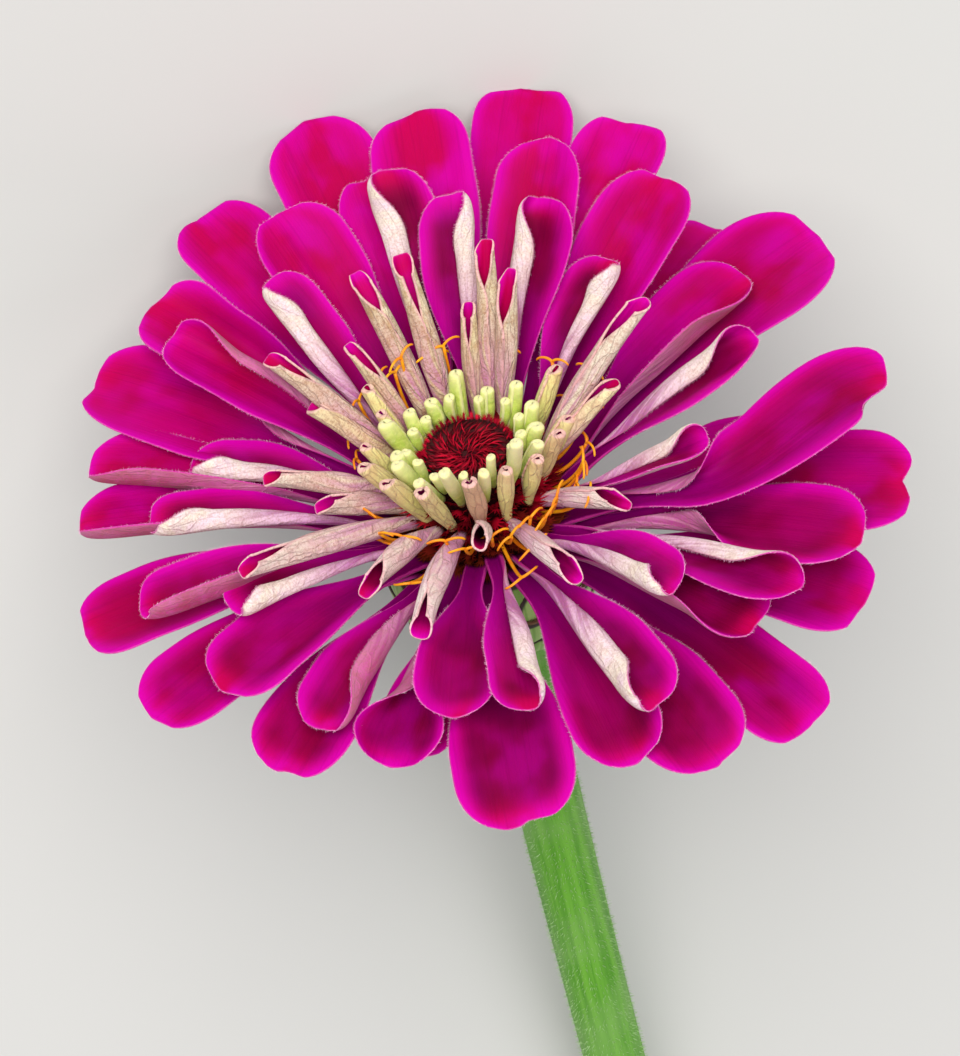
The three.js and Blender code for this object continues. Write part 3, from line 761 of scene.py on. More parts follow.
def openRays():
    look = openRayLook
    chance = random.Random(look["seed"])
    rays = []
    for name, whorl in whorls.items():
        for index, row in enumerate(rayRows[name]):
            ray = {**whorl, **collars["open"], **dict(zip(rayRowNames, (*row, *[0] * len(rayRowNames))))}
            azimuth = ray["azimuth"]
            # painted shade on the faces, more the nearer a ray lies to the near side, with a little at random
            paintedShade = chance.uniform(0.7, 1.1) * blend(0.2, 1.05, nearness(azimuth) ** 1.4)
            ray.update(
                length=ray["length"] + ray["sink"],
                rise=ray["rise"] - ray["sway"] * math.cos(math.radians(azimuth)) + ray["extra"],
                rootZ=ray["rootZ"] + look["rootStagger"] * (1 if index % 2 else -1),
                notch=ray["notch"] or 0.006 * (index % 3),
                deep=min(0.95, ray["deep"] + paintedShade),
                phase=chance.uniform(0, 6.3),
                stray=chance.uniform(-1, 1),
                tilt=chance.uniform(-3, 3),
                seed=chance.random(),
                bend=ray["bend"] or chance.uniform(-0.8, 0.8),
                tipLift=ray["tipLift"] or chance.uniform(-0.5, 0.6),
                full=ray["full"] or chance.uniform(0.68, 0.82),
                opening=ray["opening"] or 0.6,
                endPower=chance.uniform(2.0, 2.45),
                toothed=0.3 if name == "folded" else chance.uniform(0.5, 1.2),
                teeth=chance.uniform(4, 8),
            )
            rays.append(bladeSheet(ray))
    return rays


openSheets = openRays()
fitted(sheetPiece("openRays", openSheets, [rayFace, rayBack], rimPaint=0), "open_rays")


# Rolled rays and buds: sheets rolled into a tube whose edges meet on its upper side

rolledLook = {
    "rows": 30,
    "columns": 25,
    "root": 0.52,  # how thin the tube starts, as a share of its radius
    "full": 0.5,  # where it is thickest
    "narrowing": 0.2,
    "thickness": 0.24,
    "wrap": 1.1,  # how far the sheet goes round, so that its edges overlap
    "seed": 8,
}
# One row for each: azimuth, length, rise, arch, radius, root height.
rolledRows = [
    (201, 21, 52, 16, 1.5, -5.6),
    (187, 21, 58, 14, 1.5, -5.4),
    (157, 21.5, 62, 10, 1.45, -5.4),
    (146, 18.5, 64, 8, 1.4, -5.0),
    (101, 22, 49, 14, 1.55, -5.6),
    (91, 13, 44, 10, 1.4, -5.0),
    (52, 12, 17, 26, 1.4, -5.6),
    (21, 15, 14, 26, 1.5, -5.7),
    (357, 14, 40, 22, 1.35, -5.6),
    (339, 18, 12, 24, 1.55, -5.7),
    (319, 14, 16, 26, 1.55, -5.7),
    (298, 23, 22, 14, 1.5, -5.6),
    (280, 10.5, 28, 14, 1.45, -5.6),
    (271, 16, 30, 14, 1.45, -5.4),
    (237, 20, 44, 14, 1.5, -5.6),
    (243, 13, 42, 14, 1.4, -5.0),
    (220, 14.5, 57, 8, 1.35, -4.6),
    (228, 10, 61, 6, 1.3, -4.6),
    (164, 14.5, 67, 4, 1.3, -4.8),
    (116, 9.5, 57, 4, 1.35, -4.8),
    (88, 7, 56, 6, 1.3, -4.8),
    (68, 8, 66, 6, 1.3, -4.8),
    (44, 8, 70, 8, 1.3, -4.8),
    (20, 9.5, 73, 6, 1.3, -4.8),
    (357, 11.5, 68, 8, 1.3, -4.8),
    (332, 11, 64, 10, 1.35, -4.8),
    (308, 10, 64, 10, 1.35, -4.8),
    (284, 9, 62, 10, 1.3, -4.8),
    (258, 7, 60, 6, 1.25, -4.8),
    (236, 7.5, 70, 4, 1.2, -4.6),
]


def rolledSheet(ray, look):
    rows = 1 - (1 - np.linspace(0, 1, look["rows"])) ** 1.7
    u, v = np.meshgrid(rows, np.linspace(-1, 1, look["columns"]), indexing="ij")
    beside = np.abs(v)
    # the mouth is cut aslant, pinched together and torn a little way down
    drop = ray["slant"] * ray["radius"] / ray["length"]
    q = u * (1 - drop * ease(0.3, 1, beside) * u)
    radius = blend(look["root"], 1, ease(0, look["full"], q)) - look["narrowing"] * ease(0.5, 1, q)
    fromTip = (1 - u) * ray["length"] / ray["radius"]
    radius = radius * (1 - ray["pinch"] * (1 - np.sqrt(1 - np.clip(1 - fromTip / 0.7, 0, 1) ** 2)))
    radius = ray["radius"] * (radius + ray["flare"] * ease(0.5, 0, fromTip))
    lobes = 0.06 * np.cos(2 * math.pi * v + ray["phase"]) + 0.04 * np.cos(3 * math.pi * v + 5 * q)
    radius = radius * (1 + lobes + 0.04 * np.cos(9 * q + ray["phase"]))
    wrap = look["wrap"] - ray["split"] * ease(1 - ray["splitShare"], 1, u)
    angle = math.pi * v * wrap
    # one edge lies outside the other
    spiral = radius * (1 + 0.11 * v * ease(0.0, 0.3, beside))
    middle, _, across, up = followMidrib(ray, q)
    middle = middle + across * (spiral * np.sin(angle))[..., None] - up * (spiral * np.cos(angle))[..., None]
    middle = middle + across * (0.3 * ray["stray"] * np.sin(math.pi * u))[..., None]
    thickness = 1 + ray["lip"] * ease(0.5, 0.1, fromTip) - 0.7 * ease(0.12, 0.0, fromTip)
    thickness = look["thickness"] * thickness
    return sheetOf(ray, u, v, q, middle, tippedNormal(across, up, angle), math.pi * wrap * radius, thickness)


def rolledRays():
    chance = random.Random(rolledLook["seed"])
    sheets = []
    for azimuth, length, rise, arch, radius, rootZ in rolledRows:
        youth = float(ease(18, 8, length) * ease(28, 50, rise))
        ray = {
            "azimuth": azimuth,
            "length": length + collars["rolled"]["sink"],
            "rise": rise,
            "arch": arch,
            "radius": radius - blend(0.32, 0.44, youth),
            "rootZ": rootZ,
            "youth": youth,
            "deep": nearness(azimuth),
            "slant": blend(1.5, 0.6, youth) * chance.uniform(0.7, 1.3),
            "pinch": blend(0.05, 0.72, youth),
            "flare": 0.08,
            "lip": blend(0.2, 0.35, youth),
            "split": blend(0.42, 0.1, youth) * chance.uniform(0.5, 1.3),
            "splitShare": blend(0.45, 0.15, youth) * chance.uniform(0.5, 1.3),
            "phase": chance.uniform(0, 6.3),
            "stray": chance.uniform(-1, 1),
            "seed": chance.random(),
            **collars["rolled"],
        }
        sheets.append(rolledSheet(ray, rolledLook))
    return sheets


fitted(sheetPiece("rolledRays", rolledRays(), [rayFace, rolledBack]), "rolled_rays")

budRowLook = {
    "rows": 18,
    "columns": 21,
    "root": 0.6,
    "full": 0.5,
    "narrowing": 0.08,
    "thickness": 0.26,
    "wrap": 1.14,
    "seed": 11,
}
budRings = [
    {"count": 15, "rootZ": -2.3, "length": 5.0, "radius": 0.87, "rise": 74, "start": 8},
    {"count": 13, "rootZ": -1.2, "length": 2.6, "radius": 0.62, "rise": 82, "start": 20},
]


def budDraws(seed):
    # the draws that also place the buds of the solids
    state = seed
    while True:
        state = (state * 1664525 + 1013904223) % 4294967296
        yield state / 4294967296


def budRays():
    draw = budDraws(budRowLook["seed"])
    chance = random.Random(budRowLook["seed"])
    sheets = []
    for ring in budRings:
        for i in range(ring["count"]):
            azimuth = ring["start"] + (i + 0.16 * (next(draw) - 0.5)) * 360 / ring["count"]
            older = float(ease(0.55, 0.9, nearness(azimuth)))
            length = ring["length"] * (0.75 + 0.5 * next(draw)) * blend(1, 1.6, older)
            ray = {
                "azimuth": azimuth,
                "length": length + collars["buds"]["sink"],
                "rise": ring["rise"] - 8 * next(draw) + chance.uniform(-4, 4) - 5 * older,
                "arch": chance.uniform(-16, 4),
                "radius": ring["radius"] * (0.78 + 0.2 * next(draw)) * blend(1, 0.82, older),
                "rootZ": ring["rootZ"],
                "youth": 1.0,
                "deep": nearness(azimuth),
                "slant": 0.35,
                "pinch": 0.86,
                "flare": 0.0,
                "lip": 0.3,
                "split": 0.02,
                "splitShare": 0.2,
                "phase": chance.uniform(0, 6.3),
                "stray": chance.uniform(-1, 1),
                "seed": chance.random(),
                **collars["buds"],
            }
            sheets.append(rolledSheet(ray, budRowLook))
    return sheets


fitted(sheetPiece("budRays", budRays(), [budSkin, budSkin]), "bud_rays")


# Geometry node trees for what repeats


def newTree(name, inputs):
    tree = bpy.data.node_groups.new(name, "GeometryNodeTree")
    tree.interface.new_socket("Geometry", in_out="INPUT", socket_type="NodeSocketGeometry")
    for label, kind in inputs.items():
        tree.interface.new_socket(label, in_out="INPUT", socket_type=kind)
    tree.interface.new_socket("Geometry", in_out="OUTPUT", socket_type="NodeSocketGeometry")
    start = tree.nodes.new("NodeGroupInput")
    end = tree.nodes.new("NodeGroupOutput")
    return tree, start.outputs, end.inputs[0]



def tippedRotation(tree, rotation, tip, seed):
    # turns each copy a little at random
    lowest = add(tree, "ShaderNodeVectorMath", {0: (-1, -1, -3), "Scale": tip}, operation="SCALE").outputs[0]
    highest = add(tree, "ShaderNodeVectorMath", {0: (1, 1, 3), "Scale": tip}, operation="SCALE").outputs[0]
    draws = {0: lowest, 1: highest, "Seed": seed}
    turns = add(tree, "FunctionNodeRandomValue", draws, data_type="FLOAT_VECTOR").outputs[0]
    euler = add(tree, "FunctionNodeEulerToRotation", {"Euler": turns}).outputs[0]
    return add(tree, "FunctionNodeRotateRotation", {0: rotation, 1: euler}, rotation_space="LOCAL").outputs[0]


def realised(tree, copies, material, end):
    real = add(tree, "GeometryNodeRealizeInstances", {0: copies})
    painted = add(tree, "GeometryNodeSetMaterial", {0: real.outputs[0], "Material": material})
    tree.links.new(painted.outputs[0], end)


def hairEnds(tree, values, points, rotation, end):
    # thin three-sided cones on the points, from half to a little over their length
    cone = add(
        tree,
        "GeometryNodeMeshCone",
        {"Vertices": 3, "Radius Top": 0.0, "Radius Bottom": values["Width"], "Depth": values["Length"]},
        fill_type="NONE",
    )
    size = add(tree, "FunctionNodeRandomValue", {2: 0.5, 3: 1.2, "Seed": values["Seed"]}, data_type="FLOAT")
    copies = add(
        tree,
        "GeometryNodeInstanceOnPoints",
        {"Points": points, "Instance": cone.outputs["Mesh"], "Rotation": rotation, "Scale": size.outputs[1]},
    )
    realised(tree, copies.outputs[0], values["Material"], end)


hairInputs = {
    "Length": "NodeSocketFloat",
    "Width": "NodeSocketFloat",
    "Tip": "NodeSocketFloat",
    "Seed": "NodeSocketInt",
    "Material": "NodeSocketMaterial",
}


def surfaceHairTree():
    tree, values, end = newTree("surfaceHairs", {"Density": "NodeSocketFloat", **hairInputs})
    spots = add(
        tree,
        "GeometryNodeDistributePointsOnFaces",
        {"Mesh": values["Geometry"], "Density": values["Density"], "Seed": values["Seed"]},
    )
    rotation = tippedRotation(tree, spots.outputs["Rotation"], values["Tip"], values["Seed"])
    hairEnds(tree, values, spots.outputs["Points"], rotation, end)
    return tree


def rimHairTree():
    tree, values, end = newTree("rimHairs", {"Spacing": "NodeSocketFloat", **hairInputs})
    line = add(tree, "GeometryNodeMeshToCurve", {0: values["Geometry"]}).outputs[0]
    stops = {"Curve": line, "Length": values["Spacing"]}
    spots = add(tree, "GeometryNodeResampleCurve", stops, mode="LENGTH")
    aim = add(tree, "GeometryNodeInputNamedAttribute", {"Name": "aim"}, data_type="FLOAT_VECTOR").outputs[0]
    facing = add(tree, "FunctionNodeAlignRotationToVector", {"Vector": aim}, axis="Z").outputs[0]
    rotation = tippedRotation(tree, facing, values["Tip"], values["Seed"])
    hairEnds(tree, values, spots.outputs[0], rotation, end)
    return tree


def grown(name, source, tree, settings):
    # runs a tree on a source object and keeps its result as a plain mesh of its own
    modifier = source.modifiers.new(tree.name, "NODES")
    modifier.node_group = tree
    for item in tree.interface.items_tree:
        if item.in_out == "INPUT" and item.name in settings:
            modifier[item.identifier] = settings[item.name]
    ready = source.evaluated_get(bpy.context.evaluated_depsgraph_get())
    mesh = bpy.data.meshes.new_from_object(ready)
    source.modifiers.remove(modifier)
    mesh.name = name
    return placed(name, mesh)


def rimLines(sheets, start):
    # bare lines round the free edges of sheets, past their roots, with the direction away from the sheet
    lines, aims, edges, first = [], [], [], 0
    for sheet in sheets:
        middle = sheet["middle"]
        free = middle[int(start * len(middle)):]
        outside = np.concatenate([free[:, 0], middle[-1, 1:-1], free[:, -1][::-1]])
        inside = np.concatenate([free[:, 2], middle[-4, 1:-1], free[:, -3][::-1]])
        away = outside - inside
        away /= np.maximum(np.linalg.norm(away, axis=1), 1e-6)[:, None]
        lines.append(outside)
        aims.append(away)
        edges += [(first + i, first + i + 1) for i in range(len(outside) - 1)]
        first += len(outside)
    mesh = newMesh("lines", np.concatenate(lines), [], edges)
    store(mesh, "aim", np.concatenate(aims) @ turned.T)
    return placed("lines", mesh)


def hairyRims(name, sheets, start, settings):
    rims = rimLines(sheets, start)
    made = grown(name, rims, rimHairs, settings)
    bpy.data.objects.remove(rims)
    return made


rimHairs = rimHairTree()
rimHairLook = {
    "Spacing": 0.12 * mm,
    "Length": 0.3 * mm,
    "Width": 0.026 * mm,
    "Tip": 0.6,  # how far a hair may lean, in radians
    "Seed": 3,
    "Material": hairMaterial,
}
fitted(hairyRims("openRayHairs", openSheets, 0.3, rimHairLook), "open_rays", "open_rays")


# Styles: forked threads, each a stalk and two curled arms

styleLook = {
    "radius": 0.21,
    "arm": 2.6,  # length of an arm
    "lift": 50,  # how much steeper a stalk gets on its way, in degrees
    "spread": 35,
    "curl": 110,
    "rise": 0.35,  # how far one arm rises over the other
    "rootZ": -7.05,
    "sides": 6,
    "steps": 12,
}
# One row for each: azimuth, rise, length, turn of its fork.
styleRows = [
    (9, 14, 8.5, 0),
    (12, 44, 5.5, -25),
    (30, 45, 7, 0),
    (60, 42, 5.5, 25),
    (75, 44, 6, 0),
    (90, 38, 6, 0),
    (102, 36, 5, 20),
    (116, 38, 7, 0),
    (235, 36, 8, 0),
    (247, 40, 6.5, -10),
    (258, 36, 4, 10),
    (297, 20, 4.5, -10),
    (326, 16, 8.5, 0),
    (348, 42, 6, 25),
    (2, 50, 6, 10),
    (18, 30, 7.5, -20),
    (24, 52, 6.5, 15),
    (43, 52, 6.5, -20),
    (52, 36, 8, 15),
    (67, 50, 7.5, -10),
    (338, 50, 6, 10),
    (315, 46, 6.5, 15),
    (304, 40, 7, -15),
    (284, 44, 6.5, 10),
    (268, 46, 6.5, 0),
]
farStyleRows = [
    (104, 46, 10, -10),
    (109, 50, 12, 5),
    (124, 60, 11, 10),
    (150, 68, 11, -15),
    (160, 66, 10.5, 10),
    (180, 70, 12, 10),
    (187, 68, 11, -15),
    (203, 70, 12.5, 15),
    (208, 66, 11, -10),
    (216, 62, 11, 15),
    (228, 55, 10.5, -15),
]


def circle(sides):
    return np.arange(sides) * 2 * math.pi / sides


def ringFaces(rings, sides):
    # the quads between rings of points that follow one another
    faces = []
    for i in range(rings - 1):
        for j in range(sides):
            k = (j + 1) % sides
            faces.append([i * sides + j, i * sides + k, (i + 1) * sides + k, (i + 1) * sides + j])
    return faces


def sweep(points, radii, sides):
    # a closed tube through the points; the side direction is carried along them
    points = np.asarray(points, float)
    ahead = np.gradient(points, axis=0)
    ahead /= np.linalg.norm(ahead, axis=1)[:, None]
    side = np.cross(ahead[0], [0.3, 0.2, 0.9])
    angles = circle(sides)[:, None]
    rings = []
    for point, heading, radius in zip(points, ahead, radii):
        side = side - heading * (side @ heading)
        side /= np.linalg.norm(side)
        other = np.cross(heading, side)
        rings.append(point + radius * (np.cos(angles) * side + np.sin(angles) * other))
    vertices = np.concatenate(rings)
    faces = ringFaces(len(rings), sides)
    faces.append(list(range(sides))[::-1])
    faces.append([len(vertices) - sides + j for j in range(sides)])
    return vertices, faces


def joinParts(name, parts, materials):
    vertices, faces, start = [], [], 0
    for points, partFaces in parts:
        vertices.append(points)
        faces += [[start + i for i in face] for face in partFaces]
        start += len(points)
    return finishMesh(newMesh(name, np.concatenate(vertices), faces), materials)


def styleParts(azimuth, rise, length, turn):
    look, steps = styleLook, styleLook["steps"]
    stalk = {"azimuth": azimuth, "rise": rise, "arch": -look["lift"], "rootZ": look["rootZ"]}
    stalk.update(length=length + collars["styles"]["sink"], **collars["styles"])
    points, along, across, up = followMidrib(stalk, np.linspace(0, 1, steps))
    parts = [sweep(points, np.linspace(1.15, 0.9, steps) * look["radius"], look["sides"])]
    for side in (-1, 1):
        point = points[-1] - along[-1] * 0.2
        arm = [point]
        for i in range(steps):
            share = (i + 0.5) / steps
            bend = math.radians(side * (look["spread"] * ease(0, 0.2, share) + look["curl"] * share) + turn)
            heading = along[-1] * math.cos(bend) + across * math.sin(bend)
            heading = heading + up[-1] * look["rise"] * side * math.sin(math.pi * share)
            point = point + heading / np.linalg.norm(heading) * look["arm"] / steps
            arm.append(point)
        radii = look["radius"] * np.linspace(0.85, 0.6, len(arm))
        radii[-1] *= 0.6
        parts.append(sweep(arm, radii, look["sides"]))
    return parts


styleSweeps = [part for row in styleRows + farStyleRows for part in styleParts(*row)]
fitted(joinParts("styleThreads", styleSweeps, [styleMaterial]), "styles")


# Receptacle: the cone with its sunken disc, and the chaff that stands on both

discLook = {
    "profile": [(0, -2.1), (0.7, -1.9), (2.0, -1.2), (3.6, -0.3), (4.6, -0.1), (4.3, -0.5)],
    "segments": 64,
}
chaffLook = {
    "discCount": 240,
    "discRadius": 4.9,
    "swirl": 14,  # how far the strands of the disc turn off the middle, in degrees
    "coneRows": 17,
    "rowDrop": 0.66,
    "coneSpacing": 0.62,
    "tuftCount": 110,  # long bright scales that stand out between the rolled rays
    "tuftHeights": (-7.6, -3.6),  # lowest and highest of them
    "tuftLengths": (3.0, 4.8),
    "seed": 21,
}


def latheParts(profile, segments):
    # the profile starts and ends on the axis
    angles = circle(segments)
    rings = [
        np.stack([radius * np.sin(angles), -radius * np.cos(angles), np.full(segments, height)], -1)
        for radius, height in profile[1:-1]
    ]
    faces = ringFaces(len(rings), segments)
    top = len(rings) * segments
    last = top - segments
    faces += [[top, (j + 1) % segments, j] for j in range(segments)]
    faces += [[top + 1, last + j, last + (j + 1) % segments] for j in range(segments)]
    ends = [[0, 0, profile[0][1]], [0, 0, profile[-1][1]]]
    return np.concatenate([*rings, ends]), faces


def discHeight(radius):
    radii, heights = zip(*discLook["profile"][:5])
    return np.interp(radius, radii, heights)


def heightMesh(name, points, faces):
    mesh = bpy.data.meshes.new(name)
    mesh.from_pydata(points, [], faces)
    store(mesh, "height", points[:, 2])
    mesh.shade_smooth()
    mesh.update()
    return bpy.data.objects.new(name, mesh)


def chaffScale():
    # one scale: a narrow folded blade whose tip is torn into five teeth
    outline = [(0.12, 0.0), (0.17, 0.35), (0.14, 0.58)]
    teeth = [(0.27, 0.80), (0.09, 0.66), (0.15, 0.98), (0.03, 0.72), (0.0, 1.12)]
    ring = outline + teeth + [(-x, y) for x, y in reversed(outline + teeth[:-1])]
    spine = [(0.0, 0.0), (0.0, 0.35), (0.0, 0.58)]
    points = [(x, 0.1 * (1 - abs(x) / 0.3) - 0.2 * y * y, y) for x, y in ring + spine]
    n = len(ring)
    a, b, c = n, n + 1, n + 2
    faces = [[a, 0, 1, b], [b, 1, 2, c], [n - 1, a, b, n - 2], [n - 2, b, c, n - 3]]
    faces += [[c, i, i + 1] for i in range(2, n - 3)]
    return heightMesh("chaffScale", np.array(points), faces)


def chaffStrand():
    # one strand of the disc: a thin three-sided thread that curls over towards the middle
    steps, sides = 6, 3
    angles = circle(sides)
    around = np.stack([np.cos(angles), np.sin(angles), 0 * angles], -1)
    rings = []
    for i in range(steps + 1):
        t = i / steps
        thick = 0.055 * (1 - t) ** 0.5 + 0.008
        middle = np.array([0.10 * math.sin(2.6 * t), 0.42 * t * t, t * (1 - 0.3 * t)])
        rings.append(middle + thick * around)
    faces = ringFaces(steps + 1, sides) + [[steps * sides + j for j in range(sides)]]
    return heightMesh("chaffStrand", np.concatenate(rings), faces)


def turnedInward(outward, turn):
    return -outward * math.cos(turn) + np.cross(upright, outward) * math.sin(turn)


# A spot is its place, direction of the tip, direction of the inner side, length, share of the depth
# below the disc and share of the disc's radius.


def discSpots():
    look = chaffLook
    chance = random.Random(look["seed"])
    golden = math.pi * (3 - math.sqrt(5))
    spots = []
    for i in range(look["discCount"]):
        radius = look["discRadius"] * math.sqrt((i + 0.5) / look["discCount"])
        outward = np.array([math.cos(i * golden), math.sin(i * golden), 0])
        place = outward * radius + upright * (discHeight(radius) - 0.1)
        lean = math.radians(blend(15, 72, ease(0, 3.6, radius)) + chance.uniform(-12, 12))
        inward = turnedInward(outward, math.radians(look["swirl"] + chance.uniform(-24, 24)))
        tip = inward * math.sin(lean) + upright * math.cos(lean)
        size = blend(1.3, 2.5, ease(0, 3.5, radius)) * chance.uniform(0.75, 1.2)
        spots.append((place, tip, inward, size, 0.0, radius / look["discRadius"]))
    return spots


def coneSpots():
    look = chaffLook
    chance = random.Random(look["seed"])
    spots = []
    for row in range(look["coneRows"]):
        z = -0.1 - look["rowDrop"] * row
        radius = coneRadius(z) + 0.1
        count = int(2 * math.pi * radius / look["coneSpacing"])
        for i in range(count):
            angle = (i + 0.5 * (row % 2) + chance.uniform(-0.2, 0.2)) * 2 * math.pi / count
            outward = np.array([math.cos(angle), math.sin(angle), 0])
            steep = math.radians(blend(62, 34, ease(0, -9, z)) + chance.uniform(-14, 14))
            tip = outward * math.cos(steep) + upright * math.sin(steep)
            size = blend(1.0, 2.5, ease(0, 6, -z)) * chance.uniform(0.7, 1.25)
            inner = turnedInward(outward, math.radians(chance.uniform(-50, 50)))
            spots.append((outward * radius + upright * z, tip, inner, size, row / look["coneRows"], 1.0))
    for i in range(look["tuftCount"]):
        angle = (i + chance.uniform(-0.4, 0.4)) * 2 * math.pi / look["tuftCount"]
        outward = np.array([math.cos(angle), math.sin(angle), 0])
        z = chance.uniform(*look["tuftHeights"])
        steep = math.radians(chance.uniform(36, 60))
        tip = outward * math.cos(steep) + upright * math.sin(steep)
        inner = turnedInward(outward, math.radians(chance.uniform(-60, 60)))
        place = outward * (coneRadius(z) + 0.2) + upright * z
        spots.append((place, tip, inner, chance.uniform(*look["tuftLengths"]), 0.0, 1.0))
    return spots


def chaffTree():
    sockets = {"Scale": "NodeSocketObject", "Material": "NodeSocketMaterial"}
    tree, values, end = newTree("chaffOnCone", sockets)
    named = {}
    for name, kind in (("aim", "FLOAT_VECTOR"), ("inner", "FLOAT_VECTOR"), ("size", "FLOAT")):
        read = add(tree, "GeometryNodeInputNamedAttribute", {"Name": name}, data_type=kind)
        named[name] = read.outputs[0]
    standing = add(tree, "FunctionNodeAlignRotationToVector", {"Vector": named["aim"]}, axis="Z")
    facing = add(
        tree,
        "FunctionNodeAlignRotationToVector",
        {"Rotation": standing.outputs[0], "Vector": named["inner"]},
        axis="Y",
        pivot_axis="Z",
    )
    scale = add(tree, "GeometryNodeObjectInfo", {"Object": values["Scale"]})
    copies = add(
        tree,
        "GeometryNodeInstanceOnPoints",
        {
            "Points": values["Geometry"],
            "Instance": scale.outputs["Geometry"],
            "Rotation": facing.outputs[0],
            "Scale": named["size"],
        },
    )
    tone = add(tree, "FunctionNodeRandomValue", {"Seed": 4}, data_type="FLOAT")
    toned = add(
        tree,
        "GeometryNodeStoreNamedAttribute",
        {"Geometry": copies.outputs[0], "Name": "tone", "Value": tone.outputs[1]},
        data_type="FLOAT",
        domain="INSTANCE",
    )
    realised(tree, toned.outputs[0], values["Material"], end)
    return tree


def chaffPiece(name, spots, scale):
    places, tips, inners, sizes, depths, centres = zip(*spots)
    mesh = newMesh("chaffSpots", np.array(places), [])
    store(mesh, "aim", np.array(tips) @ turned.T)
    store(mesh, "inner", np.array(inners) @ turned.T)
    store(mesh, "size", [size * mm for size in sizes])
    store(mesh, "depth", depths)
    store(mesh, "centre", centres)
    source = placed("chaffSpots", mesh)
    made = grown(name, source, chaffOnCone, {"Scale": scale, "Material": chaffMaterial})
    bpy.data.objects.remove(source)
    bpy.data.objects.remove(scale)
    return made


coneBase = bloom["coneBase"]
coneProfile = discLook["profile"] + [(coneRadius(coneBase), coneBase), (0, coneBase)]
fitted(joinParts("core", [latheParts(coneProfile, discLook["segments"])], [coneMaterial]), "receptacle")
chaffOnCone = chaffTree()
fitted(chaffPiece("chaff", coneSpots(), chaffScale()), "receptacle", "receptacle")
fitted(chaffPiece("discStrands", discSpots(), chaffStrand()), "receptacle", "receptacle")


# Involucre: a cup with four rows of overlapping bracts

# tip and foot are shares of the cup's depth, below its rim; proud is how far a row stands off, in millimetres
bractRows = [
    {"count": 13, "tip": -0.19, "foot": 0.3, "proud": 0.15},
    {"count": 11, "tip": -0.1, "foot": 0.5, "proud": 0.45},
    {"count": 10, "tip": 0.24, "foot": 0.76, "proud": 0.85},
    {"count": 8, "tip": 0.5, "foot": 0.97, "proud": 1.2},
]
bractLook = {"rows": 18, "columns": 15, "overlap": 1.25, "thickness": 0.5, "lean": 0.35, "seed": 17}
stemLook = {
    "into": 0.5,  # how far the stem goes into the cup
    "length": 112.8,
    "radius": 3.95,
    "bow": 1.6,
    "flare": 0.12,  # how much wider it starts, and over which share of its length
    "taper": 0.06,
    "ribs": 11,
    "ribHeight": 0.012,
    "sides": 48,
    "rings": 90,
    # at the cut: share of the radius, and how far the pith has sunk there
    "cut": ((0.93, 0.0), (0.8, 0.25), (0.45, 0.5), (0.25, 1.4)),
}
cupSides = 64


def cupOuter(t):
    # radius of the cup at a share of its depth; at its foot it is a little wider than the stem
    neck = stemLook["radius"] + 0.9
    return neck + (bloom["cupRadius"] - neck) * (1 - np.clip(t, 0, 1) ** 2.1) ** 0.55


def bractSheet(row, index, chance):
    # u runs from the foot of a bract to its tip, v across it, and t down the cup
    look = bractLook
    u, v = np.meshgrid(np.linspace(0, 1, look["rows"]), np.linspace(-1, 1, look["columns"]), indexing="ij")
    beside = np.abs(v)
    width = (0.8 + 0.2 * ease(0, 0.5, u)) * (1 - 0.95 * np.maximum(0, (u - 0.55) / 0.45) ** 2.4) ** 0.5
    angle = 2 * math.pi * (index + 0.5) / row["count"] + row["count"] + chance.uniform(-0.04, 0.04)
    swing = math.pi / row["count"] * look["overlap"] * width * v
    t = blend(row["foot"], row["tip"], u)
    radius = cupOuter(t) + row["proud"] * ease(0, 0.6, u) * (1 - 0.55 * beside**2) - look["thickness"] / 2
    radius = radius - look["lean"] * np.maximum(0, -t) * bloom["cupDepth"]
    azimuth = angle + swing
    out = np.stack([np.sin(azimuth), -np.cos(azimuth), 0 * azimuth], -1)
    middle = out * radius[..., None] + upright * (bloom["cupTop"] - t * bloom["cupDepth"])[..., None]
    normal = np.cross(np.gradient(middle, axis=0), np.gradient(middle, axis=1))
    normal /= np.maximum(np.linalg.norm(normal, axis=-1), 1e-9)[..., None]
    length = (row["foot"] - row["tip"]) * bloom["cupDepth"]
    half = np.abs(swing).max(1)[:, None] * radius
    seed = chance.random()
    return {
        "middle": middle,
        "normal": normal,
        "half": np.broadcast_to(look["thickness"] / 2 * (1 - 0.6 * ease(0.7, 1, beside)), v.shape),
        "along": u,
        "edge": np.minimum(half * (1 - beside), (1 - u) * length * 1.3),
        "grain": np.stack([v * half + 30 * seed, u * length, 40 * seed + 0 * u], -1),
    }


def involucre():
    chance = random.Random(bractLook["seed"])
    return [bractSheet(row, i, chance) for row in bractRows for i in range(row["count"])]


bracts = involucre()
fitted(sheetPiece("bracts", bracts, [bractMaterial, bractMaterial]), "involucre")
cupProfile = [(0, bloom["cupTop"])]
cupProfile += [(cupOuter(t) - 0.25, bloom["cupTop"] - t * bloom["cupDepth"]) for t in np.linspace(0, 1, 24)]
cupProfile += [(0, bloom["cupTop"] - bloom["cupDepth"])]
cupMaterial = makePlainMaterial("cup", [(0.13, 0.26, 0.05), (0.22, 0.36, 0.10)], 250, 0.65)
fitted(joinParts("cup", [latheParts(cupProfile, cupSides)], [cupMaterial]), "involucre", "involucre")
fringeLook = {**rimHairLook, "Length": 0.5 * mm, "Material": fringeMaterial}
fitted(hairyRims("bractFringe", bracts, 0.45, fringeLook), "involucre", "involucre")


# Stem: a ribbed rod with a cut end, and its bristles


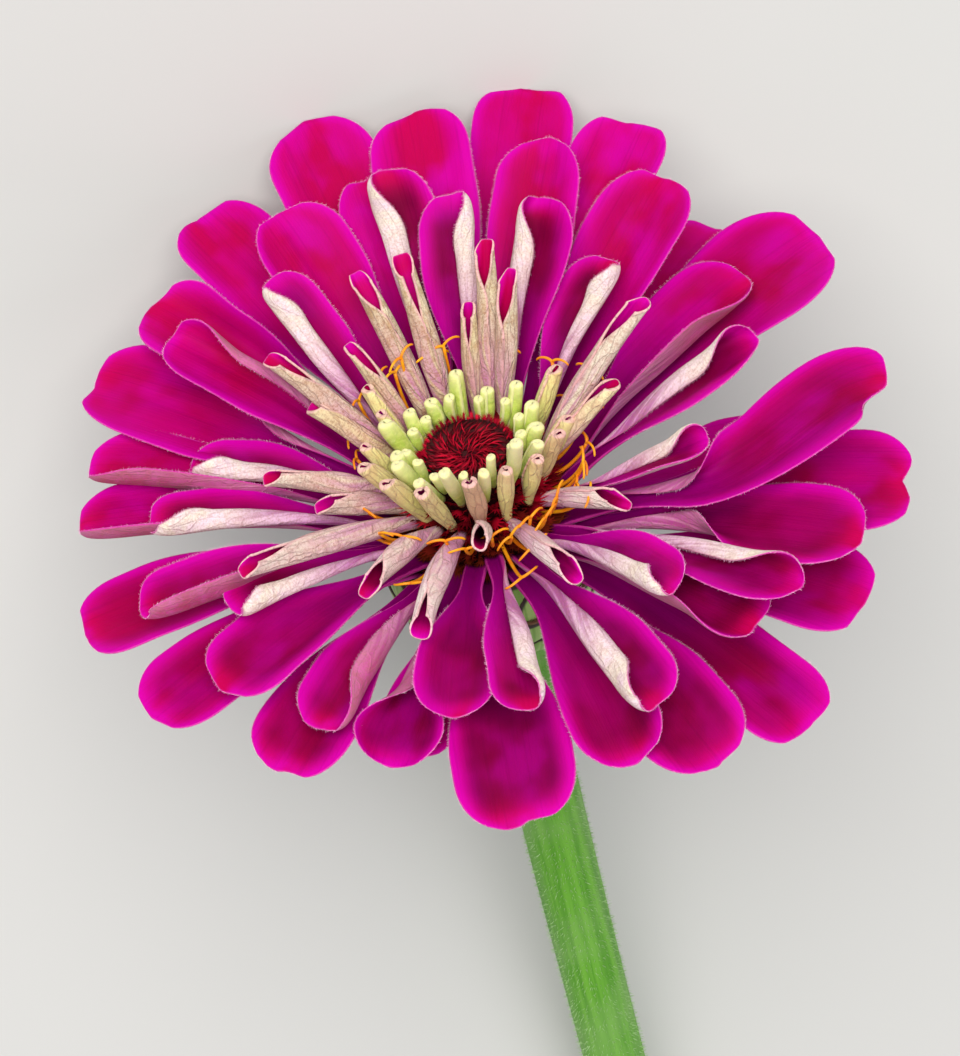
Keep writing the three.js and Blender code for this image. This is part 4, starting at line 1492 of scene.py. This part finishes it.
def stemRings():
    look = stemLook
    top = bloom["cupTop"] - bloom["cupDepth"] + look["into"]
    angles = circle(look["sides"])
    rings = []
    for t in np.linspace(0, 1, look["rings"]):
        radius = look["radius"] * (1 + look["flare"] * (1 - ease(0, look["flare"], t)) - look["taper"] * t)
        ribs = look["ribHeight"] * (np.cos(look["ribs"] * angles + 3 * t) - 1)
        across = radius * (1 + ribs + 0.5 * look["ribHeight"] * np.cos(3 * angles + 9 * t))
        x = look["bow"] * t * t + across * np.cos(angles)
        height = np.full(len(angles), top - look["length"] * t)
        rings.append(np.stack([x, across * np.sin(angles), height], -1))
    # the cut: a pale ring with softer pith that has shrunk back
    centre = np.array([look["bow"], 0, 0])
    last = rings[-1]
    rings += [centre + (last - centre) * [share, share, 1] + upright * sunk for share, sunk in look["cut"]]
    return [rings[0] * [0.3, 0.3, 1]] + rings


def stemPiece():
    look, rings = stemLook, stemRings()
    sides = look["sides"]
    vertices = np.concatenate(rings)
    faces = [[a, d, c, b] for a, b, c, d in ringFaces(len(rings), sides)]
    slots = [int(i // sides > look["rings"]) for i in range(len(faces))]
    faces.append(list(range(sides)))
    faces.append([len(vertices) - sides + j for j in range(sides)][::-1])
    slots += [0, 1]
    mesh = newMesh("stemRod", vertices, faces)
    mesh.polygons.foreach_set("material_index", slots)
    around = np.tile(circle(sides), len(rings)) * look["radius"]
    store(mesh, "grain", np.stack([around, vertices[:, 2], 0 * around], -1))
    return finishMesh(mesh, [stemSkin, pithMaterial])


bristleLook = {
    "Density": 2.6e6,
    "Length": 0.55 * mm,
    "Width": 0.045 * mm,
    "Tip": 0.5,
    "Seed": 6,
    "Material": bristleMaterial,
}
stemDressed = stemPiece()
stemBristles = grown("stemHairs", stemDressed, surfaceHairTree(), bristleLook)
fitted(stemDressed, "stem")
fitted(stemBristles, "stem", "stem")
print("the flower is made")


# Floor, light and camera

floorLook = {"reach": 6.0, "colours": [(0.625, 0.615, 0.595), (0.61, 0.60, 0.58)]}
floorMesh = bpy.data.meshes.new("floor")
floorCorners = np.array([(-1, -1, 0), (1, -1, 0), (1, 1, 0), (-1, 1, 0)]) * floorLook["reach"]
floorMesh.from_pydata(floorCorners, [], [(0, 1, 2, 3)])
floorMaterial = makePlainMaterial("floorPaper", floorLook["colours"], 6, 0.8, relief=0.02)
floor = finishMesh(floorMesh, [floorMaterial])

view = {
    "fromAxis": 47,  # degrees between the view and the flower's axis
    "roll": 13,
    "distance": 470,  # mm from the middle of the disc
    "aimRight": 1.4,  # mm from the middle of the disc to the middle of the picture
    "aimDown": 8.6,
    "lens": 148.9,
    "sensor": 36,
    "nearest": 0.01,
}


def pictureAxes():
    tilt, roll = math.radians(view["fromAxis"]), math.radians(view["roll"])
    towards = np.array([0, -math.sin(tilt), math.cos(tilt)])
    up = np.array([0, math.cos(tilt), math.sin(tilt)])
    right = np.array([1.0, 0, 0])
    pictureRight = right * math.cos(roll) - up * math.sin(roll)
    pictureUp = right * math.sin(roll) + up * math.cos(roll)
    return towards, pictureRight, pictureUp


def placeCamera():
    towards, right, up = pictureAxes()
    eye = towards * view["distance"]
    aim = right * view["aimRight"] - up * view["aimDown"]
    back = Vector(turned @ (eye - aim)).normalized()
    side = Vector(turned @ right)
    side = (side - back * side.dot(back)).normalized()
    above = back.cross(side)
    data = bpy.data.cameras.new("camera")
    data.lens = view["lens"]
    data.sensor_width = view["sensor"]
    data.clip_start = view["nearest"]
    camera = placed("camera", data)
    camera.matrix_world = Matrix.Translation(laid(eye)) @ Matrix((side, above, back)).transposed().to_4x4()
    bpy.context.scene.camera = camera


def softLight(name, direction, distance, size, power, colour):
    # an area light that looks at the bloom, from a direction with z up from the floor
    data = bpy.data.lights.new(name, "AREA")
    data.shape = "DISK"
    data.size = size
    data.energy = power
    data.color = colour
    light = placed(name, data)
    aim = Vector(laid([0, 0, 0]))
    light.location = aim + Vector(direction).normalized() * distance
    light.rotation_euler = (light.location - aim).to_track_quat("Z", "Y").to_euler()


placeCamera()
softLight("key", (0.05, -0.85, 1.05), 3.2, 3.0, 121.0, (1.0, 0.98, 0.95))
softLight("fill", (-0.5, 0.6, 1.2), 3.2, 2.5, 22.0, (0.95, 0.98, 1.0))
skyLook = {"Color": (0.92, 0.96, 1.0, 1), "Strength": 0.42}
world = bpy.data.worlds.new("sky")
world.use_nodes = True
for key, value in skyLook.items():
    world.node_tree.nodes["Background"].inputs[key].default_value = value
bpy.context.scene.world = world
bpy.context.scene.view_settings.view_transform = "Standard"  # keeps the deep magenta as deep as it is
print("floor, light and camera are set")
